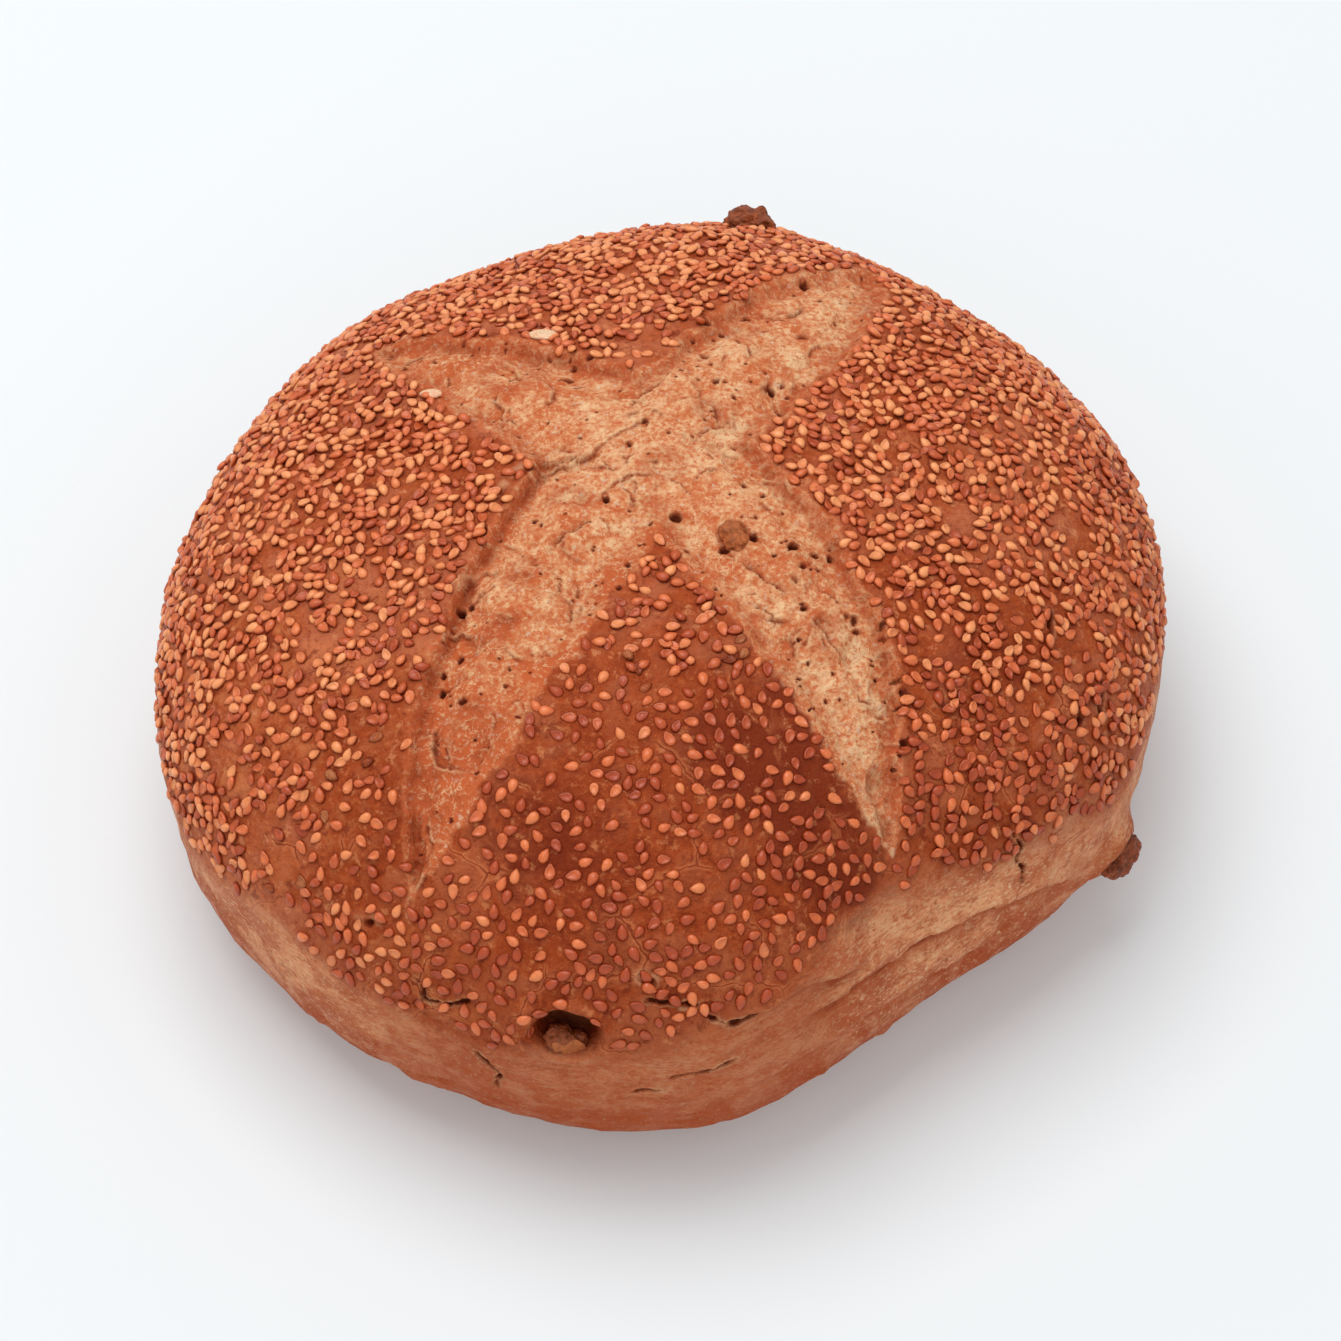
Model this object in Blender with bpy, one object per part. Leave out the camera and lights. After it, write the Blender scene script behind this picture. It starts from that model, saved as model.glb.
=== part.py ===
"""Round country loaf with a four-armed cross cut, a coat of sesame seeds and walnut pieces.

Metres, +Z up. The loaf stands on Z = 0 and the middle of its box is over the origin.
The camera side of the loaf faces -Y.
"""
import math
import random

import bmesh
import bpy
import numpy as np
from mathutils import Matrix, Vector, noise

# Outline of the loaf from above
MEAN_RADIUS = 0.1063
OVAL_SHARE, OVAL_AZIMUTH = 0.053, math.radians(98)
THREE_LOBE_SHARE, THREE_LOBE_AZIMUTH = -0.033, math.radians(18)
# Each swell: how far it stands out, its azimuth, its spread
SWELLS = (
    (-0.0185, math.radians(-54), math.radians(18)),
    (0.0132, math.radians(21.5), math.radians(22)),
    (-0.0059, math.radians(104), math.radians(14)),
)

# Side view of the loaf
CROWN_HEIGHT = 0.0900
BELLY_HEIGHT = 0.0360
ROUNDNESS = 2.2
BASE_SHARE = 0.78
KEEL_BELOW_BASE = 0.0005
BASE_LIFT = math.radians(-60)
SMOOTH_BELOW = 0.0080

# Unevenness of the crust: size of the lumps, how far they stand out
CRUST_LUMPS = ((0.032, 0.0011), (0.012, 0.0005))

# Cross cut: middle, and each arm's end, bow, half width and how late it tapers
CROSS_MIDDLE = (0.000, 0.012)
CROSS_ARMS = (
    (-0.058, 0.053, 0.0000, 0.0168, 2.2),
    (0.049, 0.080, 0.0035, 0.0172, 3.5),
    (-0.048, -0.088, -0.0045, 0.0162, 2.4),
    (0.050, -0.080, 0.0070, 0.0160, 3.0),
)
CROSS_DEPTH = 0.0032
CROSS_SWELL = 0.0022
CROSS_WALL_WIDTH = 0.0026
CROSS_SWELL_REACH = 0.0120
LIP_RISE = 0.0014
LIP_WIDTH = 0.0060
ARM_TIP_POWER = 0.85

# Stretch folds on the front right side: azimuth of the highest point, its height,
# fall of the fold away from there, first and last azimuth, depth
FOLDS = (
    (math.radians(-62), 0.0423, 0.0420, math.radians(-76), math.radians(-28), 0.0026),
    (math.radians(-66), 0.0300, 0.0300, math.radians(-80), math.radians(-36), 0.0014),
)
FOLD_LIP = 0.0012
FOLD_UPPER_REACH = 0.0050
FOLD_LOWER_REACH = 0.0090
FOLD_END_SHARE = 0.4

# Core mesh
CORE_SUBDIVISIONS = 8
CORE_TRIANGLES = 3850

# Walnut pieces: name, azimuth, lift and offset of the middle from the crust,
# half length, half width, half height, turn, seed of the wrinkles
WALNUTS = (
    ("walnut_rear", 77.5, 25.0, 0.0006, 0.0057, 0.0048, 0.0043, 10, 3),
    ("walnut_side", -23.0, -13.5, 0.0018, 0.0052, 0.0047, 0.0044, 60, 8),
    ("walnut_front", -99.4, 6.5, -0.0034, 0.0044, 0.0036, 0.0034, -20, 5),
    ("walnut_cross", -37.0, 79.6, 0.0002, 0.0036, 0.0027, 0.0021, 75, 11),
)
WALNUT_SUBDIVISIONS = 3
WALNUT_GROOVE_DEPTH, WALNUT_GROOVE_WIDTH = 0.24, 0.24
WALNUT_WRINKLE_DEPTH, WALNUT_WRINKLES = 0.20, 2.3
SOCKET_GAP = 0.0004

# Torn pocket on the front in which a walnut piece shows
POCKET_AZIMUTH, POCKET_LIFT = -99.2, 10.5
POCKET_HALF_SIZES = (0.0072, 0.0058, 0.0080)
POCKET_SUNK = 0.0012

# Seeds
SEED_LENGTH, SEED_WIDTH, SEED_THICKNESS = 0.0031, 0.0020, 0.0013
SEED_TAPER = 0.35
SEED_SUNK = 0.15
SEED_COUNT = 156
SEEDED_SHARE = 0.75
SEED_STRAY = 0.009
SEED_EDGE_GAP = 0.0022
SEED_SPACING = 0.0060
SEED_CLEARANCE = 0.0030
SEED_RANDOM = 41
# Lowest seeds: their height, and the rise of that limit on the front right side
SEED_LIMIT = 0.0420
SEED_LIMIT_RISE, SEED_LIMIT_AZIMUTH, SEED_LIMIT_SPREAD = 0.0120, math.radians(-62), math.radians(20)

# Pale kernels by the edge of the cross: azimuth, lift, turn, length, width
KERNELS = (
    (114.8, 54.0, 8, 0.0062, 0.0034),
    (146.1, 52.0, -12, 0.0046, 0.0026),
)

SHARP_ANGLE = math.radians(40)
CRUST_COLOUR = (0.42, 0.12, 0.045, 1)
WALNUT_COLOUR = (0.10, 0.028, 0.014, 1)


def smooth_step(value):
    share = np.clip(value, 0, 1)
    return share * share * (3 - 2 * share)


def angle_between(azimuth, other):
    return (azimuth - other + math.pi) % (2 * math.pi) - math.pi


def outline_radius(azimuth):
    """Radius of the loaf's widest level."""
    radius = MEAN_RADIUS * (
        1
        + OVAL_SHARE * np.cos(2 * (azimuth - OVAL_AZIMUTH))
        + THREE_LOBE_SHARE * np.cos(3 * (azimuth - THREE_LOBE_AZIMUTH))
    )
    for swell, middle, spread in SWELLS:
        radius = radius + swell * np.exp(-0.5 * (angle_between(azimuth, middle) / spread) ** 2)
    return radius


def dome_points(azimuth, lift):
    """Points of the plain loaf. A lift of 90 degrees is the crown, and one under BASE_LIFT is the base."""
    power = 2 / ROUNDNESS
    radius = outline_radius(azimuth)
    roll = np.clip(lift / BASE_LIFT, 0, 1) * math.pi / 2
    inwards = np.clip((lift + math.pi / 2) / (BASE_LIFT + math.pi / 2), 0, 1)
    upper = np.clip(lift, 0, math.pi / 2)
    across = np.where(
        lift >= 0,
        radius * np.cos(upper) ** power,
        radius * (BASE_SHARE + (1 - BASE_SHARE) * np.cos(roll) ** power),
    )
    across = np.where(lift < BASE_LIFT, radius * BASE_SHARE * inwards, across)
    height = np.where(
        lift >= 0,
        BELLY_HEIGHT + (CROWN_HEIGHT - BELLY_HEIGHT) * np.sin(upper) ** power,
        BELLY_HEIGHT - (BELLY_HEIGHT + KEEL_BELOW_BASE) * np.sin(roll) ** power,
    )
    return np.stack([across * np.cos(azimuth), across * np.sin(azimuth), height], axis=-1)


def arm_edge_distance(x, y, arm):
    """Distance to the edge of one arm of the cross, less than zero inside it."""
    end_x, end_y, bow, half_width, taper = arm
    run = np.array([end_x - CROSS_MIDDLE[0], end_y - CROSS_MIDDLE[1]])
    length = np.linalg.norm(run)
    from_x, from_y = x - CROSS_MIDDLE[0], y - CROSS_MIDDLE[1]
    share = (from_x * run[0] + from_y * run[1]) / length**2
    held = np.clip(share, 0, 1)
    sideways = (run[0] * from_y - run[1] * from_x) / length - 4 * bow * held * (1 - held)
    beside = np.abs(sideways) - half_width * (1 - held**taper) ** ARM_TIP_POWER
    beyond = np.maximum(np.maximum(share - 1, -share), 0) * length
    outside = np.hypot(np.maximum(beside, 0), beyond)
    return np.where((beside < 0) & (beyond <= 0), beside, outside)


def cross_edge_distance(x, y):
    return np.min([arm_edge_distance(x, y, arm) for arm in CROSS_ARMS], axis=0)


def cross_relief(points):
    """The sunk floor of the cross, which swells again in its middle, and the raised lips round it."""
    edge = cross_edge_distance(points[:, 0], points[:, 1])
    inside = np.maximum(-edge, 0)
    floor = -CROSS_DEPTH * smooth_step(inside / CROSS_WALL_WIDTH)
    floor = floor + CROSS_SWELL * smooth_step((inside - CROSS_WALL_WIDTH) / CROSS_SWELL_REACH)
    lip = LIP_RISE * np.exp(-((edge / LIP_WIDTH) ** 2))
    relief = np.where(edge < 0, floor + LIP_RISE * (1 - smooth_step(inside / CROSS_WALL_WIDTH)), lip)
    return np.where(points[:, 2] > BELLY_HEIGHT, relief, 0)


def fold_relief(points):
    """Folds where the dough stretched: an upper lip hangs over a step."""
    azimuth = np.arctan2(points[:, 1], points[:, 0])
    total = np.zeros(len(points))
    for top, top_height, fall, first, last, depth in FOLDS:
        line = top_height - fall * angle_between(azimuth, top) ** 2
        above = points[:, 2] - line
        middle, half = (first + last) / 2, (last - first) / 2
        strength = smooth_step((1 - np.abs(angle_between(azimuth, middle)) / half) / FOLD_END_SHARE)
        lower = -depth * np.exp(-((above / FOLD_LOWER_REACH) ** 2)) * (above < 0)
        upper = FOLD_LIP * np.exp(-((above / FOLD_UPPER_REACH) ** 2)) * (above >= 0)
        total = total + strength * (lower + upper)
    return total


def lump_relief(points):
    return np.array(
        [
            sum(rise * noise.noise(Vector(point) / size) for size, rise in CRUST_LUMPS)
            for point in points
        ]
    )


def crust_relief(points):
    fade = smooth_step(points[:, 2] / SMOOTH_BELOW)
    return (cross_relief(points) + fold_relief(points) + lump_relief(points)) * fade


def spot_on_crust(azimuth, lift, offset=0.0, turn=0.0):
    """Place a piece on the crust: its Z axis points out, and turn is about that axis."""
    step = 0.001

    def at(a, b):
        point = dome_points(np.array([a]), np.array([b]))
        return Vector(point[0])

    middle = at(azimuth, lift)
    east = (at(azimuth + step, lift) - at(azimuth - step, lift)).normalized()
    north = (at(azimuth, lift + step) - at(azimuth, lift - step)).normalized()
    outwards = east.cross(north).normalized()
    north = outwards.cross(east)
    middle = middle + outwards * (crust_relief(np.array([middle]))[0] + offset)
    frame = Matrix((east, north, outwards)).transposed().to_4x4()
    return Matrix.Translation(middle) @ frame @ Matrix.Rotation(turn, 4, "Z")


def clear_scene():
    for item in list(bpy.data.objects):
        bpy.data.objects.remove(item, do_unlink=True)


def new_collection(name):
    collection = bpy.data.collections.new(name)
    bpy.context.scene.collection.children.link(collection)
    return collection


def new_material(name, colour, roughness):
    material = bpy.data.materials.new(name)
    material.use_nodes = True
    shader = material.node_tree.nodes["Principled BSDF"]
    shader.inputs["Base Color"].default_value = colour
    shader.inputs["Roughness"].default_value = roughness
    shader.inputs["Metallic"].default_value = 0.0
    material.diffuse_color = colour
    return material


def new_object(name, bm, collection, matrix=None):
    mesh = bpy.data.meshes.new(name)
    bm.normal_update()
    bm.to_mesh(mesh)
    bm.free()
    item = bpy.data.objects.new(name, mesh)
    collection.objects.link(item)
    if matrix is not None:
        item.matrix_world = matrix
    return item


def apply_modifiers(item):
    depsgraph = bpy.context.evaluated_depsgraph_get()
    depsgraph.update()
    mesh = bpy.data.meshes.new_from_object(item.evaluated_get(depsgraph), depsgraph=depsgraph)
    item.modifiers.clear()
    item.data = mesh


def cut(item, cutter):
    modifier = item.modifiers.new("cut", "BOOLEAN")
    modifier.operation = "DIFFERENCE"
    modifier.solver = "EXACT"
    modifier.object = cutter
    apply_modifiers(item)
    bpy.data.objects.remove(cutter, do_unlink=True)


def fuse(item, collection):
    modifier = item.modifiers.new("fuse", "BOOLEAN")
    modifier.operation = "UNION"
    modifier.solver = "EXACT"
    modifier.operand_type = "COLLECTION"
    modifier.collection = collection
    apply_modifiers(item)
    for piece in list(collection.objects):
        bpy.data.objects.remove(piece, do_unlink=True)
    bpy.data.collections.remove(collection)


def keep_largest_shell(item):
    """Fill hollows that fusing sealed and drop loose scraps: only the shell with most points stays."""
    bm = bmesh.new()
    bm.from_mesh(item.data)
    unseen = set(bm.verts)
    shells = []
    while unseen:
        waiting = [unseen.pop()]
        shell = list(waiting)
        while waiting:
            vertex = waiting.pop()
            reached = [edge.other_vert(vertex) for edge in vertex.link_edges]
            reached = [other for other in reached if other in unseen]
            unseen.difference_update(reached)
            waiting.extend(reached)
            shell.extend(reached)
        shells.append(shell)
    shells.sort(key=len)
    for shell in shells[:-1]:
        bmesh.ops.delete(bm, geom=shell, context="VERTS")
    bm.to_mesh(item.data)
    bm.free()


def as_cutter(item):
    item.hide_render = True
    item.display_type = "WIRE"
    return item


def make_core(collection):
    """The bare loaf: a fine sphere drawn to the loaf's form, thinned, and cut flat at the base."""
    bm = bmesh.new()
    bmesh.ops.create_icosphere(bm, subdivisions=CORE_SUBDIVISIONS, radius=1)
    directions = np.array([vertex.co for vertex in bm.verts])
    azimuth = np.arctan2(directions[:, 1], directions[:, 0])
    lift = np.arcsin(np.clip(directions[:, 2], -1, 1))
    plain = dome_points(azimuth, lift)
    for vertex, point in zip(bm.verts, plain):
        vertex.co = point
    bm.normal_update()
    for vertex, relief in zip(bm.verts, crust_relief(plain)):
        vertex.co += vertex.normal * relief
    core = new_object("loaf", bm, collection)
    thin = core.modifiers.new("thin", "DECIMATE")
    thin.ratio = CORE_TRIANGLES / len(core.data.polygons)
    apply_modifiers(core)
    flatten_base(core)
    return core


def flatten_base(core):
    bm = bmesh.new()
    bm.from_mesh(core.data)
    geometry = bm.verts[:] + bm.edges[:] + bm.faces[:]
    bmesh.ops.bisect_plane(bm, geom=geometry, plane_co=(0, 0, 0), plane_no=(0, 0, 1), clear_inner=True)
    rim = [edge for edge in bm.edges if edge.is_boundary]
    bmesh.ops.holes_fill(bm, edges=rim)
    bmesh.ops.recalc_face_normals(bm, faces=bm.faces)
    bm.to_mesh(core.data)
    bm.free()


def make_walnut(name, half_sizes, matrix, wrinkle_seed, collection, grow=0.0):
    """A lobed kernel piece: two lobes with a groove between them, wrinkled all over."""
    bm = bmesh.new()
    bmesh.ops.create_icosphere(bm, subdivisions=WALNUT_SUBDIVISIONS, radius=1)
    shift = Vector((wrinkle_seed, 2 * wrinkle_seed, 0))
    for vertex in bm.verts:
        direction = vertex.co.normalized()
        groove = WALNUT_GROOVE_DEPTH * math.exp(-((direction.x / WALNUT_GROOVE_WIDTH) ** 2))
        wrinkle = WALNUT_WRINKLE_DEPTH * noise.noise(direction * WALNUT_WRINKLES + shift)
        reach = 1 - groove + wrinkle
        vertex.co = Vector([reach * part * half for part, half in zip(direction, half_sizes)])
    bm.normal_update()
    for vertex in bm.verts:
        vertex.co += vertex.normal * grow
    return new_object(name, bm, collection, matrix)


def make_seed(name, length, width, matrix, collection):
    """A flat teardrop on its side, wider at one end."""
    bm = bmesh.new()
    bmesh.ops.create_uvsphere(bm, u_segments=6, v_segments=3, radius=0.5)
    bmesh.ops.triangulate(bm, faces=bm.faces)
    for vertex in bm.verts:
        along, side, up = vertex.co.z, vertex.co.x, vertex.co.y
        narrow = 1 - SEED_TAPER * 2 * along
        vertex.co = Vector((along * length, side * width * narrow, up * SEED_THICKNESS))
    return new_object(name, bm, collection, matrix)


def seed_limit(azimuth):
    spread = angle_between(azimuth, SEED_LIMIT_AZIMUTH) / SEED_LIMIT_SPREAD
    return SEED_LIMIT + SEED_LIMIT_RISE * math.exp(-0.5 * spread**2)


def seed_spots(keep_clear):
    """Even spots over the seeded crust, by the golden angle, each moved a little by chance."""
    draw = random.Random(SEED_RANDOM)
    golden = math.pi * (3 - math.sqrt(5))
    spots = []
    middles = []
    total = int(SEED_COUNT / SEEDED_SHARE)
    for index in range(total):
        lift = math.asin(1 - (index + 0.5) / total) + draw.uniform(-SEED_STRAY, SEED_STRAY)
        azimuth = angle_between(index * golden + draw.uniform(-SEED_STRAY, SEED_STRAY), 0)
        turn = draw.uniform(0, math.pi)
        matrix = spot_on_crust(azimuth, lift, SEED_THICKNESS * SEED_SUNK, turn)
        point = matrix.translation
        edge = cross_edge_distance(np.array([point.x]), np.array([point.y]))[0]
        if edge < SEED_EDGE_GAP or point.z < seed_limit(azimuth):
            continue
        if any((point - other).length < reach + SEED_CLEARANCE for other, reach in keep_clear):
            continue
        if any((point - other).length < SEED_SPACING for other in middles):
            continue
        spots.append(matrix)
        middles.append(point)
    return spots


def make_seeds(keep_clear, collection):
    for index, matrix in enumerate(seed_spots(keep_clear)):
        make_seed(f"seed_{index}", SEED_LENGTH, SEED_WIDTH, matrix, collection)


def make_kernels(collection):
    for index, (azimuth, lift, turn, length, width) in enumerate(KERNELS):
        offset = SEED_THICKNESS * SEED_SUNK
        matrix = spot_on_crust(math.radians(azimuth), math.radians(lift), offset, math.radians(turn))
        make_seed(f"kernel_{index}", length, width, matrix, collection)


def make_pocket(matrix, collection):
    bm = bmesh.new()
    bmesh.ops.create_icosphere(bm, subdivisions=3, radius=1)
    bmesh.ops.scale(bm, vec=POCKET_HALF_SIZES, verts=bm.verts)
    return as_cutter(new_object("pocket", bm, collection, matrix))


def centre_over_origin(items):
    """Move the meshes so that the middle of the whole box is over the origin."""
    corners = [item.matrix_world @ vertex.co for item in items for vertex in item.data.vertices]
    middle_x = (min(c.x for c in corners) + max(c.x for c in corners)) / 2
    middle_y = (min(c.y for c in corners) + max(c.y for c in corners)) / 2
    for item in items:
        item.matrix_world = Matrix.Translation((-middle_x, -middle_y, 0)) @ item.matrix_world
    bpy.context.view_layer.update()


def main():
    clear_scene()
    parts = new_collection("walnut_bread")
    cutters = new_collection("cutters")
    toppings = new_collection("toppings")
    crust = new_material("crust", CRUST_COLOUR, 0.6)
    kernel = new_material("walnut", WALNUT_COLOUR, 0.5)

    loaf = make_core(parts)
    pocket_spot = spot_on_crust(math.radians(POCKET_AZIMUTH), math.radians(POCKET_LIFT), -POCKET_SUNK)
    cut(loaf, make_pocket(pocket_spot, cutters))
    keep_clear = [(pocket_spot.translation, POCKET_HALF_SIZES[0])]
    walnuts = []
    for name, azimuth, lift, offset, length, width, height, turn, wrinkle_seed in WALNUTS:
        spot = spot_on_crust(math.radians(azimuth), math.radians(lift), offset, math.radians(turn))
        half_sizes = (length, width, height)
        walnuts.append(make_walnut(name, half_sizes, spot, wrinkle_seed, parts))
        socket = make_walnut("socket", half_sizes, spot, wrinkle_seed, cutters, SOCKET_GAP)
        cut(loaf, as_cutter(socket))
        keep_clear.append((spot.translation, length))
    make_seeds(keep_clear, toppings)
    make_kernels(toppings)
    fuse(loaf, toppings)
    keep_largest_shell(loaf)

    loaf.data.materials.clear()
    loaf.data.materials.append(crust)
    for walnut in walnuts:
        walnut.data.materials.append(kernel)
    for item in [loaf, *walnuts]:
        item.data.shade_smooth()
        item.data.set_sharp_from_angle(angle=SHARP_ANGLE)
    centre_over_origin([loaf, *walnuts])
    bpy.data.collections.remove(cutters)


main()
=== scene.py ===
import math
import random

import bmesh
import bpy
import numpy as np
from bpy.props import FloatProperty, FloatVectorProperty, IntProperty, PointerProperty
from mathutils import Matrix, Vector, noise


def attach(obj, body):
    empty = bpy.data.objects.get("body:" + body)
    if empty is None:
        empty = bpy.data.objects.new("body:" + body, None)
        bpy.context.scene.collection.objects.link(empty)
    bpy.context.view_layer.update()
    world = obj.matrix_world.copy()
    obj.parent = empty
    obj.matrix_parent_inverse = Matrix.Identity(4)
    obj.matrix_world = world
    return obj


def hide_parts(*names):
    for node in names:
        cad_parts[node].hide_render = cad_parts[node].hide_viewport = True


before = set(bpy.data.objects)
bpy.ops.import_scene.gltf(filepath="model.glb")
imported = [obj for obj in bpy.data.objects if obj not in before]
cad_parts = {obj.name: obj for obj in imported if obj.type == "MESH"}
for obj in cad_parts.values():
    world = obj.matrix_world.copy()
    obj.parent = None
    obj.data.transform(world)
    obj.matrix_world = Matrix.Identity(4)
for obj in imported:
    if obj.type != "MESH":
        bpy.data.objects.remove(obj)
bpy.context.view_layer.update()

bl_info = {
    "name": "Walnut bread",
    "version": (1, 0, 0),
    "blender": (4, 5, 0),
    "location": "View3D > Sidebar > Walnut bread",
    "description": "A round loaf with a cross cut, a sesame coat and walnut pieces",
    "category": "Add Mesh",
}

BODY = "root"

# The loaf's outline is worked out about its own middle, which lies here in the frame
LOAF_MIDDLE = Vector((-0.002562, -0.002747, 0.0))

# Outline of the loaf from above
MEAN_RADIUS = 0.1063
OVAL_SHARE, OVAL_AZIMUTH = 0.053, math.radians(98)
THREE_LOBE_SHARE, THREE_LOBE_AZIMUTH = -0.033, math.radians(18)
# Each swell: how far it stands out, its azimuth, its spread
SWELLS = (
    (-0.0185, math.radians(-54), math.radians(18)),
    (0.0132, math.radians(21.5), math.radians(22)),
    (-0.0059, math.radians(104), math.radians(14)),
)

# Side view of the loaf
CROWN_HEIGHT = 0.0900
BELLY_HEIGHT = 0.0360
ROUNDNESS = 2.2
BASE_SHARE = 0.78
KEEL_BELOW_BASE = 0.0005
BASE_LIFT = math.radians(-60)
SMOOTH_BELOW = 0.0080

# Lumps of the crust: size, how far they stand out
CRUST_LUMPS = ((0.032, 0.0011), (0.012, 0.0005))
FINE_LUMPS = ((0.0052, 0.00032), (0.0026, 0.00018))

# Cross cut: middle, and each arm's end, bow, half width, how late it tapers,
# and how deep its left and right walls are, seen from the middle outwards
CROSS_MIDDLE = (0.000, 0.012)
CROSS_ARMS = (
    (-0.058, 0.053, 0.0000, 0.0168, 2.2, 0.40, 0.65),
    (0.049, 0.080, -0.0025, 0.0162, 3.5, 0.45, 0.50),
    (-0.047, -0.0845, -0.0045, 0.0162, 2.4, 0.25, 0.80),
    (0.047, -0.0715, 0.0066, 0.0158, 3.0, 0.75, 0.30),
)
ARM_TIP_POWER = 0.85
# Plan box that the whole cross lies in, for what is strewn over it
CROSS_SPAN_X, CROSS_SPAN_Y = (-0.062, 0.060), (-0.088, 0.082)
CROSS_DEPTH = 0.0027
CROSS_CROWN = 0.0004
# Relief above this height is eased by this share, so that the crown stays in the solid's box
CROWN_EASED_ABOVE, CROWN_EASE = 0.0900, 0.55
CROSS_SWELL_REACH = 0.0100
STEEP_WALL, EASY_WALL = 0.0019, 0.0050
LIP_RISE = 0.0007
LIP_WIDTH = 0.0050
# Across an arm, how far the depth of one wall takes to become that of the other
WALL_BLEND = 0.0080
WALL_WOBBLE, WALL_WOBBLE_SIZE = 0.5, 0.014
# Browned skin and painted shade on a wall: where it is strongest and its spread, as shares of the wall's
# width
WALL_BROWN_SHADE_AT, WALL_BROWN_SHADE_SPREAD, WALL_BROWN_SHADE_GAIN = 0.60, 0.65, 1.6
BAND_FUZZ = 0.0012
EDGE_WOBBLE_REACH = 0.020
EDGE_WOBBLES = ((0.0085, 0.0017), (0.0030, 0.0010), (0.0013, 0.0004))
BAND_LUMPS = ((0.0110, 0.0008), (0.0042, 0.00055), (0.0018, 0.00028), (0.0009, 0.00013))
BAND_LUMP_START, BAND_LUMP_LEAD, BAND_LUMP_FADE = 0.0010, 0.0008, 0.0030
# Streaks along the outer part of each arm: length, width, how far they stand out
BAND_STREAKS = ((0.020, 0.0045, 0.0005), (0.008, 0.0016, 0.00025))
STREAK_START, STREAK_FADE = 0.026, 0.016

# Where crust reaches into the cross between two arms: plan x, plan y, reach, how far
CROSS_CORNERS = (
    (0.0015, -0.0040, 0.0050, 0.0042),
    (0.0030, 0.0380, 0.0045, 0.0035),
    (0.0225, 0.0185, 0.0040, 0.0020),
)

# Stretch folds on the front right side: azimuth of the highest point, its height,
# fall of the fold away from there, first and last azimuth, depth
FOLDS = (
    (math.radians(-62), 0.0423, 0.0420, math.radians(-76), math.radians(-28), 0.0030),
    (math.radians(-66), 0.0300, 0.0300, math.radians(-80), math.radians(-36), 0.0018),
    (math.radians(-76), 0.0500, 0.0900, math.radians(-82), math.radians(-63), 0.0012),
)
FOLD_LIP = 0.0009
FOLD_UPPER_REACH = 0.0050
FOLD_LOWER_REACH = 0.0070
FOLD_END_SHARE = 0.4
FOLD_WAVE, FOLD_WAVES = 0.0006, 41
FOLD_EDGE = 0.0012
# Painted shade under a fold's lip: how far down it fades, and the width of its darker line
CREASE_SHADE_FADE, CREASE_SHADE_LINE = 0.0024, 0.0007
STRETCH_MIDDLE, STRETCH_HALF = math.radians(-55), math.radians(34)
STRETCH_HEIGHT, STRETCH_REACH = 0.034, 0.022
# Level ripples of the side below a height: size, how far they stand out
RIPPLES = ((0.018, 0.0004), (0.006, 0.0002))
RIPPLE_TOP, RIPPLE_FADE, RIPPLE_FLATNESS = 0.052, 0.012, 9

# Holes and shallow blisters in the cross, in millimetres: plan x, plan y, radius, depth
BAND_HOLES = (
    (28.2, -14.3, 1.15, 2.2), (36.0, -14.8, 0.8, 1.2), (32.8, -15.2, 0.9, 0.9),
    (30.2, -18.6, 1.0, 1.0), (33.2, -18.8, 0.6, 0.7), (30.0, -28.6, 0.8, 1.2),
    (40.3, -29.2, 0.9, 1.0), (40.7, -31.6, 0.7, 0.8), (38.7, -28.5, 0.7, 0.6),
    (45.6, -30.4, 0.8, 1.2), (45.9, -33.0, 0.7, 1.0), (48.0, -41.4, 0.7, 1.2),
    (49.0, -43.8, 0.8, 1.2), (48.4, -46.6, 0.6, 0.9), (49.0, -53.0, 1.0, 1.3),
    (44.0, -60.5, 2.4, 0.8), (24.9, 29.3, 1.0, 1.8), (11.5, 48.8, 1.3, 2.2),
    (32.8, 67.3, 1.2, 1.8), (32.0, 47.5, 1.1, 1.0), (15.2, 46.8, 0.7, 1.2),
    (9.0, 43.8, 0.6, 1.2), (11.3, 39.4, 0.9, 0.7), (10.0, 30.7, 0.5, 0.9),
    (13.5, 30.3, 0.8, 1.0), (15.4, 30.1, 0.5, 0.9), (20.6, 54.1, 0.8, 1.2),
    (-17.1, 33.9, 1.3, 1.6), (-15.6, 38.5, 0.8, 0.8), (-12.0, 38.6, 0.9, 1.4),
    (-8.7, -3.3, 0.8, 1.8), (5.3, -7.6, 1.3, 1.8), (-37.6, -27.7, 1.0, 2.0),
    (-40.8, -41.4, 0.8, 1.5), (-41.0, -45.2, 0.9, 1.6), (-33.0, -9.6, 1.1, 1.8),
    (-22.9, -7.6, 0.6, 1.0), (-21.5, -8.9, 0.5, 0.9), (-35.4, -26.8, 0.8, 1.2),
    (13.4, 45.5, 0.5, 0.7), (17.1, 25.7, 0.6, 0.9), (-0.9, 18.3, 0.5, 0.9),
    (24.5, -17.1, 0.5, 0.7), (22.6, -1.3, 0.6, 0.9), (18.9, 1.3, 0.6, 0.8),
    (-4.4, -20.2, 0.6, 0.9), (-6.2, -25.4, 0.6, 1.0), (-36.3, -48.6, 0.9, 1.2),
    (-37.2, -39.0, 0.8, 1.2), (14.8, -15.6, 1.1, 1.4), (20.4, -13.2, 1.1, 2.0),
    (-43.6, -65.0, 3.0, 0.7), (-42.6, -70.4, 2.2, 0.6), (-4.0, 12.0, 0.6, 1.0),
    (-35.5, -55.5, 6.0, 1.3), (-29.0, -33.5, 3.2, 0.9), (-25.0, -21.0, 3.0, 0.8),
    (12.5, 20.0, 3.6, 0.9), (19.0, 48.5, 3.4, 0.9), (-28.0, 36.0, 6.0, 0.9),
    (34.0, -33.0, 3.2, 0.9), (3.0, 6.0, 4.0, 0.9), (-16.0, -2.0, 3.4, 0.9),
)
SMALL_PORE_COUNT = 190
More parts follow.
